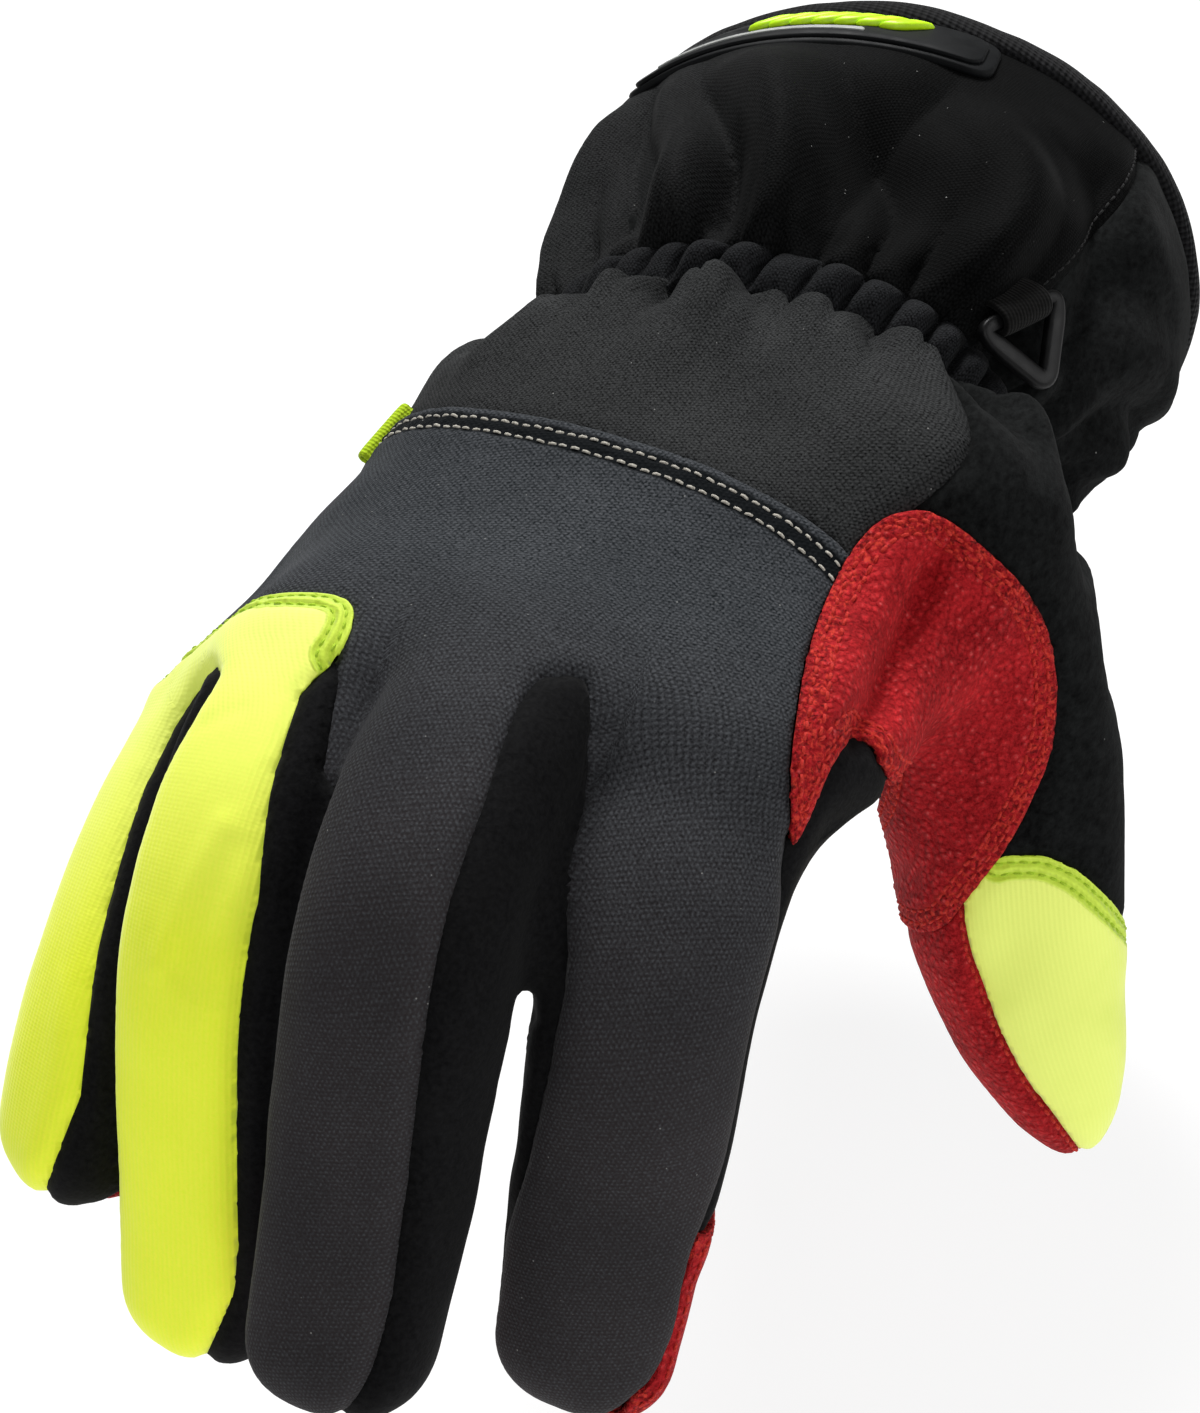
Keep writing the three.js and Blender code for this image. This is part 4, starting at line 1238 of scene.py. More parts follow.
def one_stitch(fine, start, normal_at, half, random):
    """The points of one short rounded thread that begins at a place on a fine line."""
    span = STITCH_LENGTH / STITCH_GRAIN
    last = len(fine) - 1
    shift = random.uniform(*STITCH_SHIFT)
    up = normal_at(fine[min(last, start + int(span / 2))])
    rise = random.uniform(*STITCH_RISE)
    ahead = unit(fine[min(last, start + int(span))] - fine[start])
    side = unit(np.cross(up, ahead)) * (1 + random.uniform(*STITCH_SPREAD))
    skew = random.uniform(*STITCH_SKEW)
    points = []
    for share, wide, lift in STITCH_PROFILE:
        place = start + share * span + shift
        low = int(np.clip(place, 0, last - 1))
        part = np.clip(place - low, 0, 1)
        centre = fine[low] * (1 - part) + fine[low + 1] * part + up * (lift + rise)
        centre = centre + side * (share - 0.5) * skew * 2
        for k in range(STITCH_SIDES):
            a = 2 * math.pi * k / STITCH_SIDES
            points.append(centre + (side * math.cos(a) + up * STITCH_FLATNESS * math.sin(a)) * half * wide)
    return points


def stitch_mesh(lines, normal_at, seed, half):
    """Short rounded threads along lines on a surface."""
    random = np.random.default_rng(seed)
    pattern = tube_faces(len(STITCH_PROFILE), STITCH_SIDES)
    steps = int(STITCH_PITCH / STITCH_GRAIN)
    points = []
    faces = []
    for line in lines:
        if len(line) < SHORTEST_LINE:
            continue
        fine = resampled(line, STITCH_GRAIN)
        for start in range(0, len(fine) - steps, steps):
            offset = len(points)
            faces.extend(tuple(n + offset for n in face) for face in pattern)
            points.extend(one_stitch(fine, start, normal_at, half, random))
    return points, faces


# Materials
class Shade:
    """One procedural material, built node by node. Lengths are in millimetres."""

    def __init__(self, name, **values):
        self.material = bpy.data.materials.new(name)
        self.material.use_nodes = True
        self.tree = self.material.node_tree
        self.shader = self.tree.nodes["Principled BSDF"]
        for socket, value in values.items():
            self.shader.inputs[socket.replace("_", " ")].default_value = value
        place = self.node("ShaderNodeTexCoord").outputs["Object"]
        self.place = self.vector("MULTIPLY", place, (1000, 1000, 1000))
        cloth = self.node("ShaderNodeAttribute")
        cloth.attribute_name = "cloth"
        parts = self.node("ShaderNodeSeparateXYZ")
        self.tree.links.new(cloth.outputs["Vector"], parts.inputs[0])
        self.across, self.along, self.edge = parts.outputs
        self.normal = None

    def node(self, kind, **settings):
        node = self.tree.nodes.new(kind)
        for key, value in settings.items():
            setattr(node, key, value)
        return node

    def feed(self, socket, value):
        if isinstance(value, bpy.types.NodeSocket):
            self.tree.links.new(value, socket)
        else:
            socket.default_value = value

    def vector(self, operation, a, b):
        node = self.node("ShaderNodeVectorMath", operation=operation)
        self.feed(node.inputs[0], a)
        self.feed(node.inputs[1], b)
        return node.outputs["Vector"]

    def math(self, operation, a, b=0.0, c=0.0):
        node = self.node("ShaderNodeMath", operation=operation)
        for socket, value in zip(node.inputs, (a, b, c)):
            self.feed(socket, value)
        return node.outputs[0]

    def noise(self, size, detail=2.0, roughness=0.5, stretch=(1, 1, 1)):
        node = self.node("ShaderNodeTexNoise")
        self.feed(node.inputs["Vector"], self.vector("MULTIPLY", self.place, stretch))
        node.inputs["Scale"].default_value = 1 / size
        node.inputs["Detail"].default_value = detail
        node.inputs["Roughness"].default_value = roughness
        return node.outputs["Fac"]

    def cells(self, size):
        node = self.node("ShaderNodeTexVoronoi")
        self.feed(node.inputs["Vector"], self.place)
        node.inputs["Scale"].default_value = 1 / size
        return node.outputs["Distance"]

    def spread(self, value, low, high, start=0.0, end=1.0):
        node = self.node("ShaderNodeMapRange", clamp=True)
        inputs = {"Value": value, "From Min": low, "From Max": high, "To Min": start, "To Max": end}
        for key, number in inputs.items():
            self.feed(node.inputs[key], number)
        return node.outputs["Result"]

    def wave(self, across, along, pitch, wander=0.0):
        """A wave between -1 and 1 over the cloth, along a direction given by its two shares."""
        lengthwise = self.math("MULTIPLY", self.along, along)
        place = self.math("ADD", self.math("MULTIPLY", self.across, across), lengthwise)
        if wander:
            place = self.math("MULTIPLY_ADD", self.noise(1.3, 1), wander, place)
        return self.math("COSINE", self.math("MULTIPLY", place, 2 * math.pi / pitch))

    def weave(self, pitch, turns):
        """Threads that run at the given angles over the cloth; three ways give rows of dots."""
        total = 0.0
        for turn in turns:
            a = math.radians(turn)
            total = self.math("ADD", self.wave(math.cos(a), math.sin(a), pitch, 0.1), total)
        return self.math("MULTIPLY", total, 1 / len(turns))

    def mix(self, share, a, b):
        node = self.node("ShaderNodeMix", data_type="RGBA")
        self.feed(node.inputs["Factor"], share)
        for socket, value in ((node.inputs[6], a), (node.inputs[7], b)):
            self.feed(socket, value if isinstance(value, bpy.types.NodeSocket) else (*value, 1))
        return node.outputs[2]

    def colour(self, value):
        self.feed(self.shader.inputs["Base Color"], value)

    def bump(self, height, depth, strength=1.0):
        """Relief of a height between about -1 and 1, its depth in millimetres."""
        node = self.node("ShaderNodeBump")
        node.inputs["Strength"].default_value = strength
        node.inputs["Distance"].default_value = depth * MM
        self.feed(node.inputs["Height"], height)
        if self.normal is not None:
            self.tree.links.new(self.normal, node.inputs["Normal"])
        self.normal = node.outputs["Normal"]
        self.tree.links.new(self.normal, self.shader.inputs["Normal"])


def lint(shade, colour, size=3.2, radius=0.1, tint=(0.26, 0.26, 0.25)):
    """Tiny pale specks of lint on dark cloth."""
    speck = shade.spread(shade.cells(size), radius / size, radius * 1.5 / size, 0.85, 0.0)
    sparse = shade.spread(shade.noise(13), 0.44, 0.54)
    return shade.mix(shade.math("MULTIPLY", speck, sparse), colour, tint)


# Weaves: distance of the threads, and the angles that they run at
FINE_DOTS = (0.5, (12, 72, 132))
DOTS = (0.6, (15, 75, 135))

# Places on the cloth, from and to: where painted light makes it lighter, where it turns warm and darker with
# painted shade, and the band of its stitches, darkened with painted shade
PAINTED_LIGHT_ALONG = (70, 90)
PAINTED_LIGHT_ACROSS = (50, 26)
PAINTED_LIGHT_SIDE = (2, -50)
WARM_AND_SHADED_ALONG = (150, 205)
SHADED_BAND_START = (1.3, 1.9)
SHADED_BAND_END = (6.2, 5.6)


def twill_cloth(name, threads, dark, light, warm_and_shaded, rib_depth, sheen, lit=1.0):
    """Soft-shell: a fine weave with a matt face, its colour warmer and darker towards the fingertips, the
    darkening painted shade; with painted light on the back of the hand and the little finger's side of the
    cuff, and painted shade in the band of its stitches.
    """
    shade = Shade(name, Roughness=0.75, Specular_IOR_Level=0.03, Sheen_Weight=sheen, Sheen_Roughness=0.4)
    weave = shade.weave(*threads)
    uneven = shade.noise(0.36, 2, 0.6)
    tone = shade.math("MULTIPLY_ADD", weave, 0.6, shade.spread(uneven, 0.34, 0.66))
    colour = shade.mix(shade.spread(tone, -0.25, 1.25), dark, light)
    # Painted light: the back of the hand and the little finger's side of the cuff are painted lighter, as if
    # lit, and the rest of the cuff stays dark, as if in shade
    if lit != 1.0:
        across = shade.spread(shade.across, *PAINTED_LIGHT_ACROSS)
        hand = shade.math("MULTIPLY", shade.spread(shade.along, *PAINTED_LIGHT_ALONG), across)
        painted_light = shade.math("MAXIMUM", hand, shade.spread(shade.across, *PAINTED_LIGHT_SIDE, 0.0, 0.6))
        painted_light = shade.math("MULTIPLY", painted_light, shade.spread(tone, -0.35, 1.1))
        colour = shade.mix(painted_light, colour, tuple(c * lit for c in light))
    # Warmer towards the fingertips, which is the cloth's own hue, and darker there, which is painted shade
    end = shade.spread(shade.along, *WARM_AND_SHADED_ALONG)
    end = shade.math("MULTIPLY", end, shade.spread(tone, 1.5, 0.0, 0.35, 0.85))
    colour = shade.mix(end, colour, warm_and_shaded)
    wear_and_painted_highlight = shade.spread(shade.noise(22, 3), 0.35, 0.75, 0.0, 0.25)
    colour = shade.mix(wear_and_painted_highlight, colour, dark)
    # Painted shade: the band of the stitches, pulled in by them, is painted darker
    painted_band_shade = shade.spread(shade.edge, *SHADED_BAND_END)
    painted_band_shade = shade.math("MULTIPLY", shade.spread(shade.edge, *SHADED_BAND_START), painted_band_shade)
    colour = shade.mix(shade.math("MULTIPLY", painted_band_shade, 0.92), colour, tuple(c * 0.5 for c in dark))
    shade.colour(lint(shade, colour))
    shade.bump(weave, rib_depth, 0.9)
    shade.bump(uneven, 0.06, 0.8)
    return shade.material


WELT_PITCH = 1.85
HI_VIS_RIM = (3.9, 3.5)
# Along the cloth, where the painted highlight of the hi-vis cloth ends and where it is full
HI_VIS_HIGHLIGHT_ALONG = (208, 165)
HI_VIS = {
    "glow": (0.62, 0.86, 0.02, 1),
    "dark": (0.76, 0.8, 0.032),
    "light": (0.86, 0.88, 0.06),
    "painted_highlight": (0.8, 0.85, 0.3),
    "rim": (0.42, 0.62, 0.03),
    "painted_furrow_shade": (0.2, 0.34, 0.01),
    "soil": (0.42, 0.46, 0.05),
}


def hi_vis_cloth(name):
    """Fluorescent rib knit, a little soiled, with a painted glow, a painted highlight towards the back of the
    hand and painted shade in the furrows of its welt.
    """
    # The emission is partly the dye's real fluorescence and partly a painted glow, for it shines the same
    # under any light
    shade = Shade(name, Roughness=0.75, Specular_IOR_Level=0.2, Sheen_Weight=0.25, Sheen_Roughness=0.4,
                  Emission_Strength=0.25)
    shade.shader.inputs["Emission Color"].default_value = HI_VIS["glow"]
    rib = shade.wave(1.0, 0.0, 0.78)
    loop = shade.wave(0.0, 1.0, 0.5)
    uneven = shade.noise(0.45, 3)
    tone = shade.math("MULTIPLY_ADD", rib, 0.15, shade.spread(uneven, 0.2, 0.8))
    colour = shade.mix(shade.spread(tone, 0.0, 1.0), HI_VIS["dark"], HI_VIS["light"])
    # Painted highlight: paler and whiter towards the back of the hand and the knuckles, where light falls
    painted_highlight = shade.math("MULTIPLY", shade.spread(shade.along, *HI_VIS_HIGHLIGHT_ALONG), 0.75)
    colour = shade.mix(painted_highlight, colour, HI_VIS["painted_highlight"])
    rim = shade.spread(shade.edge, *HI_VIS_RIM)
    colour = shade.mix(shade.math("MULTIPLY", rim, 0.7), colour, HI_VIS["rim"])
    welt = shade.math("COSINE", shade.math("MULTIPLY", shade.edge, 2 * math.pi / WELT_PITCH))
    # Painted shade in the furrows between the ridges of the welt
    painted_furrow_shade = shade.math("MULTIPLY", rim, shade.spread(welt, -0.55, -1.0, 0.0, 0.6))
    colour = shade.mix(painted_furrow_shade, colour, HI_VIS["painted_furrow_shade"])
    soil = shade.math("MULTIPLY", shade.spread(shade.noise(20, 4), 0.56, 0.76), 0.24)
    colour = shade.mix(soil, colour, HI_VIS["soil"])
    shade.colour(colour)
    shade.bump(shade.math("MULTIPLY", rim, welt), 0.3, 0.9)
    shade.bump(shade.math("MULTIPLY_ADD", loop, 0.3, rib), 0.024, 0.8)
    shade.bump(uneven, 0.04, 0.6)
    return shade.material


SUEDE_GRAIN = 1.35
SUEDE_RIM = (4.6, 3.0)
SUEDE = {
    "dark": (0.19, 0.0008, 0.003),
    "light": (0.66, 0.022, 0.028),
    "wear_and_painted_highlight": (0.75, 0.2, 0.19),
    "fleck": (0.66, 0.045, 0.028),
    "painted_pit_shade": (0.09, 0.001, 0.003),
}


def red_suede(name):
    """Mottled suede: pebbled grain with painted shade in its grooves and painted highlights on its tops,
    orange flecks and pits of painted shade along the stitched edge.
    """
    shade = Shade(name, Roughness=0.7, Specular_IOR_Level=0.09, Sheen_Weight=0.06, Sheen_Roughness=0.5)
    shade.shader.inputs["Sheen Tint"].default_value = (1.0, 0.35, 0.3, 1)
    fine = shade.noise(0.5, 4, 0.7)
    pebble = shade.spread(shade.cells(SUEDE_GRAIN), 0.62, 0.12)
    patches = shade.noise(9, 3)
    grain = shade.spread(fine, 0.3, 0.7, 0.0, 0.6)
    tone = shade.math("MULTIPLY_ADD", shade.spread(patches, 0.3, 0.7), 0.3, grain)
    # Partly the grain's own tone, partly painted light and shade: lighter on the tops of the pebbles, darker
    # in the grooves between them
    tone = shade.math("MULTIPLY_ADD", pebble, 0.4, tone)
    colour = shade.mix(shade.spread(tone, 0.2, 1.0), SUEDE["dark"], SUEDE["light"])
    # Painted highlight: pale, whitish tops on some of the pebbles
    scuffs_and_highlight_spots = shade.spread(shade.noise(0.6, 2), 0.5, 0.7, 0.0, 0.4)
    wear_and_painted_highlight = shade.math("MULTIPLY", shade.spread(pebble, 0.5, 1.0), scuffs_and_highlight_spots)
    colour = shade.mix(wear_and_painted_highlight, colour, SUEDE["wear_and_painted_highlight"])
    rim = shade.spread(shade.edge, *SUEDE_RIM)
    fleck = shade.spread(shade.noise(0.8, 2), 0.5, 0.66)
    colour = shade.mix(shade.math("MULTIPLY", rim, fleck), colour, SUEDE["fleck"])
    # Painted shade: dark pits in the stitched edge
    painted_pit_shade = shade.math("MULTIPLY", rim, shade.spread(shade.noise(0.7, 2), 0.44, 0.36, 0.0, 0.7))
    colour = shade.mix(painted_pit_shade, colour, SUEDE["painted_pit_shade"])
    shade.colour(colour)
    shade.bump(pebble, 0.5, 1.0)
    shade.bump(fine, 0.3, 0.9)
    return shade.material


def napped_cloth(name):
    """Black cloth with a brushed nap, lighter where the fibres stand up."""
    shade = Shade(name, Roughness=1.0, Specular_IOR_Level=0.03, Sheen_Weight=0.02, Sheen_Roughness=0.6)
    nap = shade.noise(1.1, 5, 0.7, (1, 0.55, 1))
    clumps = shade.noise(5, 2)
    tone = shade.math("MULTIPLY_ADD", shade.spread(clumps, 0.3, 0.7), 0.4, shade.spread(nap, 0.3, 0.7))
    colour = shade.mix(shade.spread(tone, 0.2, 1.2), (0.0018, 0.002, 0.002), (0.0115, 0.0125, 0.0125))
    shade.colour(lint(shade, colour, 9, 0.13))
    shade.bump(nap, 0.3, 0.8)
    shade.bump(clumps, 0.3, 0.4)
    return shade.material


def synthetic_leather(name):
    """Black palm cloth: a matt knit with a pebbled face."""
    shade = Shade(name, Roughness=0.85, Specular_IOR_Level=0.06, Sheen_Weight=0.02, Sheen_Roughness=0.5)
    pebble = shade.noise(0.8, 4, 0.6)
    colour = shade.mix(shade.spread(pebble, 0.3, 0.7), (0.0025, 0.0025, 0.0028), (0.0085, 0.0085, 0.009))
    wear_and_painted_highlight = shade.spread(shade.noise(15, 4), 0.5, 0.8, 0.0, 0.35)
    colour = shade.mix(wear_and_painted_highlight, colour, (0.013, 0.013, 0.013))
    shade.colour(lint(shade, colour, 12, 0.14))
    shade.bump(pebble, 0.16, 0.8)
    return shade.material


def ribbed_cloth(name, dark, light, pitch, depth, across=1.0, along=0.0, roughness=0.85):
    """Knit binding or woven webbing, ribbed one way."""
    shade = Shade(name, Roughness=roughness, Specular_IOR_Level=0.1, Sheen_Weight=0.03)
    rib = shade.wave(across, along, pitch)
    cross = shade.wave(along + 0.25, across, pitch * 0.8)
    height = shade.math("MULTIPLY_ADD", cross, 0.4, rib)
    uneven = shade.noise(0.5, 3)
    tone = shade.math("MULTIPLY_ADD", height, 0.3, shade.spread(uneven, 0.2, 0.8))
    shade.colour(shade.mix(shade.spread(tone, 0.0, 1.0), dark, light))
    shade.bump(height, depth, 0.9)
    shade.bump(uneven, 0.06, 0.6)
    return shade.material


def moulded(name, colour, roughness, grain=0.02, specular=0.4):
    """Rubber or plastic with a faint grain and small scuffs."""
    shade = Shade(name, Specular_IOR_Level=specular)
    scuffs_and_highlight_spots = shade.spread(shade.noise(3.5, 5, 0.7), 0.35, 0.75)
    paler = tuple(c * 1.5 + 0.002 for c in colour)
    shade.colour(shade.mix(scuffs_and_highlight_spots, colour, paler))
    rough = shade.spread(scuffs_and_highlight_spots, 0, 1, roughness - 0.06, roughness + 0.12)
    shade.feed(shade.shader.inputs["Roughness"], rough)
    shade.bump(shade.noise(0.35, 3), grain, 0.6)
    return shade.material


def thread(name, dark, light):
    shade = Shade(name, Roughness=0.75, Specular_IOR_Level=0.12, Sheen_Weight=0.05)
    twist = shade.noise(0.3, 2)
    shade.colour(shade.mix(shade.spread(twist, 0.3, 0.7), dark, light))
    shade.bump(twist, 0.05, 0.6)
    return shade.material


def plain_material(name, colour, roughness):
    material = bpy.data.materials.new(name)
    material.use_nodes = True
    shader = material.node_tree.nodes["Principled BSDF"]
    shader.inputs["Base Color"].default_value = (*colour, 1)
    shader.inputs["Roughness"].default_value = roughness
    return material


MATERIALS = {
    # The soft-shell's lit=8.2 is the strength of its painted light on the back of the hand and the cuff
    "softshell": twill_cloth(
        "softshell", FINE_DOTS, dark=(0.0005, 0.0005, 0.0005), light=(0.0062, 0.0064, 0.0065),
        warm_and_shaded=(0.006, 0.006, 0.006), rib_depth=0.04, sheen=0.01, lit=8.2,
    ),
    "grey_cloth": twill_cloth(
        "grey_cloth", DOTS, dark=(0.004, 0.006, 0.0075), light=(0.079, 0.084, 0.092),
        warm_and_shaded=(0.036, 0.03, 0.031), rib_depth=0.05, sheen=0.05,
    ),
    # Painted light: the same black soft-shell as the cuff, made lighter so that the puckers of the elastic
    # look lit
    "gather_cloth": twill_cloth(
        "gather_cloth", FINE_DOTS, dark=(0.0012, 0.0012, 0.0013), light=(0.024, 0.025, 0.027),
        warm_and_shaded=(0.006, 0.006, 0.006), rib_depth=0.04, sheen=0.02,
    ),
    "hi_vis_cloth": hi_vis_cloth("hi_vis_cloth"),
    "red_suede": red_suede("red_suede"),
    "side_fleece": napped_cloth("side_fleece"),
    "palm_cloth": synthetic_leather("palm_cloth"),
    "hem_knit": ribbed_cloth(
        "hem_knit", dark=(0.003, 0.003, 0.0033), light=(0.013, 0.013, 0.014), pitch=1.3, depth=0.16,
    ),
    "tab_rubber": moulded("tab_rubber", (0.004, 0.0045, 0.005), roughness=0.6, grain=0.03, specular=0.12),
    "worn_print": moulded("worn_print", (0.3, 0.31, 0.3), roughness=0.6),
    "lime_rubber": moulded("lime_rubber", (0.5, 0.82, 0.005), roughness=0.42),
    "lime_webbing": ribbed_cloth(
        "lime_webbing", dark=(0.33, 0.5, 0.01), light=(0.52, 0.72, 0.03), pitch=0.7, depth=0.06,
    ),
    "black_webbing": ribbed_cloth(
        "black_webbing", dark=(0.0015, 0.0015, 0.0015), light=(0.007, 0.0066, 0.0062), pitch=0.7, depth=0.05,
    ),
    "ring_plastic": moulded("ring_plastic", (0.003, 0.003, 0.0032), roughness=0.42, grain=0.02, specular=0.2),
    "lining_fleece": napped_cloth("lining_fleece"),
    "pale_thread": thread("pale_thread", dark=(0.3, 0.28, 0.24), light=(0.62, 0.59, 0.52)),
    "lime_thread": thread("lime_thread", dark=(0.36, 0.56, 0.03), light=(0.5, 0.7, 0.05)),
    "red_thread": thread("red_thread", dark=(0.4, 0.012, 0.01), light=(0.66, 0.05, 0.035)),
    "black_thread": thread("black_thread", dark=(0.006, 0.006, 0.006), light=(0.02, 0.02, 0.02)),
}
SLOTS = {row["node"]: row["material_slot"] for row in frame["record"]["subparts"]}


# Pieces
def turned_out(points, faces):
    """The faces of a closed shape, all turned so that they look outwards."""
    fans = np.array([(face[0], face[k], face[k + 1]) for face in faces for k in range(1, len(face) - 1)])
    a, b, c = points[fans[:, 0]], points[fans[:, 1]], points[fans[:, 2]]
    if (np.cross(a, b) * c).sum() < 0:
        return [tuple(reversed(face)) for face in faces]
    return faces


def make_object(name, points, faces, material, body=BODY, cloth=None, node=None, slot=None, closed=True):
    """A smooth piece that rides on a body and, where a CAD node is named, stands for it."""
    points = np.asarray(points)
    mesh = bpy.data.meshes.new(name)
    mesh.from_pydata((points * MM).tolist(), [], turned_out(points, faces) if closed else faces)
    mesh.update()
    mesh.polygons.foreach_set("use_smooth", [True] * len(mesh.polygons))
    mesh.materials.append(MATERIALS[material])
    if cloth is not None:
        mesh.attributes.new("cloth", "FLOAT_VECTOR", "POINT").data.foreach_set("vector", np.ravel(cloth))
    piece = bpy.data.objects.new(name, mesh)
    bpy.context.scene.collection.objects.link(piece)
    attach(piece, body)
    if node:
        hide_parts(node)
    slot or SLOTS[node]
    return piece


def give_thickness(piece, thickness):
    """A wall of cloth that grows inwards."""
    wall = piece.modifiers.new("wall", "SOLIDIFY")
    wall.thickness = thickness * MM
    wall.offset = -1
    wall.use_even_offset = False


# Where the coordinates of the hand's cloth pass into those of a finger: places along it, distances from it
CLOTH_BLEND = (0, 22)
CLOTH_NEAR = (12, 4)
CLOTH_ACROSS = 14


def cloth_place(points, on_thumb=False):
    """Coordinates along the cloth, across and lengthwise, in millimetres."""
    if on_thumb:
        angle, s, radius = THUMB_LINE.angle(points)
        return np.radians(angle) * radius, s
    turn, mean = section_angle(points)
    across = turn * mean
    along = -points[:, 1]
    distances = np.stack([line.distance(points) for line in LINES.values()])
    nearest = distances.argmin(0)
    for number, (name, line) in enumerate(LINES.items()):
        mine = nearest == number
        if not mine.any():
            continue
        angle, s, radius = line.angle(points[mine])
        share = smooth_step(*CLOTH_BLEND, s) * smooth_step(*CLOTH_NEAR, distances[number][mine])
        x, y = FINGERS[name][:2]
        across[mine] += share * (x + CLOTH_ACROSS + np.radians(angle) * radius - across[mine])
        along[mine] += share * (s - y - along[mine])
    return across, along


ON_THUMB = ("thumb_tip_panel", "thumb_pad")


def make_panels():
    """All sewn panels of cloth, each with its own wall."""
    surface, panels = cut_panels()
    seams = seam_points(surface, panels)
    made = {}
    for name, triangles in panels.items():
        panel = Panel(name, surface, triangles, seams[name])
        across, along = cloth_place(panel.flat, name in ON_THUMB)
        edge = panel.edge["over"]
        piece = make_object(name + "_cloth", panel.points, panel.faces.tolist(), SLOTS[name],
                            cloth=np.stack([across, along, edge], -1), node=name, closed=False)
        give_thickness(piece, SHELL)
        made[name] = panel
    return made


def make_stitches(panels):
    """The rows of stitches that show."""
    for seed, (name, neighbours, offsets, colour) in enumerate(STITCH_ROWS):
        panel = panels[name]
        values = panel.distance(neighbours)
        lines = []
        for offset in offsets:
            lines += level_lines(panel.points, panel.faces, values, offset)
        points, faces = stitch_mesh(lines, panel.normal_finder(), seed, STITCH_HALF[colour])
        if points:
            make_object(name + "_stitches", points, faces, colour, slot=SLOTS[name])


def ring_points(y, angles, out):
    """Points round the hand's section at y, moved out by out, on the true surface of the glove."""
    rows = smooth_rows(HAND[HAND[:, 0].argsort()], np.full(len(angles), float(y)))
    x, z, half, top, bottom, n = rows.T
    s, c = np.sin(angles), np.cos(angles)
    high = np.where(c > 0, top, bottom)
    px = x + (half + out) * np.sign(s) * np.abs(s) ** (2 / n)
    pz = z + (high + out) * np.sign(c) * np.abs(c) ** (2 / n)
    return np.stack([px, np.full(len(angles), float(y)), pz], -1)


GATHER_STEPS = 900
GATHER_ROWS = 22
GATHER_TUCK = 1.2
GATHER_HEIGHT = 3.3
GATHER_SINK = 1.9
GATHER_PINCH = 2.6
GATHER_LEAN = 0.02
GATHER_EDGE = 0.02
GATHER_FULLNESS = 0.6
GATHER_RADIUS = 48
GATHER_RUMPLE = ((0.15, 4, 10),)
UNEVEN_GATHERS = ((0.5, 8, 9),)

# The distance from a seam that is given to cloth without one, in millimetres
NO_SEAM = 9.0


def make_gathers():
    """The elastic channel: a row of round puckers, pinched along both edges."""
    angles = np.linspace(-math.pi, math.pi, GATHER_STEPS, endpoint=False)
    shares = np.linspace(0, 1, GATHER_ROWS)
    start, end = GATHER_TOP + GATHER_TUCK, GATHER_END - GATHER_TUCK
    rows = [ring_points(start + (end - start) * share, angles, 0.0) for share in shares]
    flat, normals = settled(glove_distance, np.concatenate(rows))
    turn = np.tile(pucker_turn(angles), GATHER_ROWS)
    share = np.repeat(shares, GATHER_STEPS)
    lean = GATHER_LEAN * (share - 0.5)
    arch = np.sin(math.pi * np.clip(share, GATHER_EDGE, 1 - GATHER_EDGE)) ** GATHER_FULLNESS
    uneven = 1 + rumple(flat, UNEVEN_GATHERS)
    height = (GATHER_HEIGHT * uneven * pillow(turn + lean) - GATHER_SINK) * arch - GATHER_PINCH * (1 - arch)
    height += rumple(flat, GATHER_RUMPLE) + dents(flat)
    points = flat + normals * height[:, None]
    faces = [(a, d, c, b) for a, b, c, d in tube_faces(GATHER_ROWS, GATHER_STEPS, capped=False)]
    cloth = np.stack([turn * GATHER_RADIUS, -flat[:, 1], np.full(len(flat), NO_SEAM)], -1)
    piece = make_object("wrist_gathers_cloth", points, faces, "gather_cloth", cloth=cloth,
                        node="wrist_gathers", closed=False)
    give_thickness(piece, SHELL)


# Keeps what points away from the axis of the cuff
OUTWARD = (1, 0, 1)
HEM_STEPS = 360
HEM_RADIUS = 57
HEM_RUMPLE = ((0.35, 14, 31), (0.12, 4, 32))

# The section of the hem: y, and the distance outwards from the edge of the cuff
HEM_PROFILE = (
    (-8.6, -0.6), (-8.4, 1.0), (-7.0, 1.9), (-4.8, 2.3), (-2.4, 2.1), (-0.8, 1.3), (0.4, -0.3), (0.7, -1.7),
    (0.3, -3.0), (-0.8, -3.9), (-2.6, -4.3), (-5.0, -4.3), (-7.0, -4.0), (-8.0, -3.6),
)


def make_hem():
    """The knitted binding, a soft band folded over the edge of the cuff."""
    angles = np.linspace(-math.pi, math.pi, HEM_STEPS, endpoint=False)
    columns = []
    run = 0.0
    cloth = []
    before = HEM_PROFILE[0]
    for y, out in HEM_PROFILE:
        run += math.hypot(y - before[0], out - before[1])
        before = (y, out)
        ring = ring_points(y, angles, out)
        columns.append(ring)
        row = [angles * HEM_RADIUS, np.full(HEM_STEPS, run), np.full(HEM_STEPS, NO_SEAM)]
        cloth.append(np.stack(row, -1))
    points = np.stack(columns, 1).reshape(-1, 3)
    cloth = np.stack(cloth, 1).reshape(-1, 3)
    points = points + unit(points * OUTWARD) * rumple(points, HEM_RUMPLE)[:, None]
    faces = tube_faces(HEM_STEPS, len(HEM_PROFILE), closed=True)
    make_object("cuff_hem_cloth", points, faces, "hem_knit", cloth=cloth, node="cuff_hem")


LINING_DEPTH = 3.7
LINING_GRID = 2.2
LINING_WALL = 0.7
LINING_START = -2.0
LINING_RISE = 0.5
LINING_RUMPLE = ((0.5, 15, 41),)


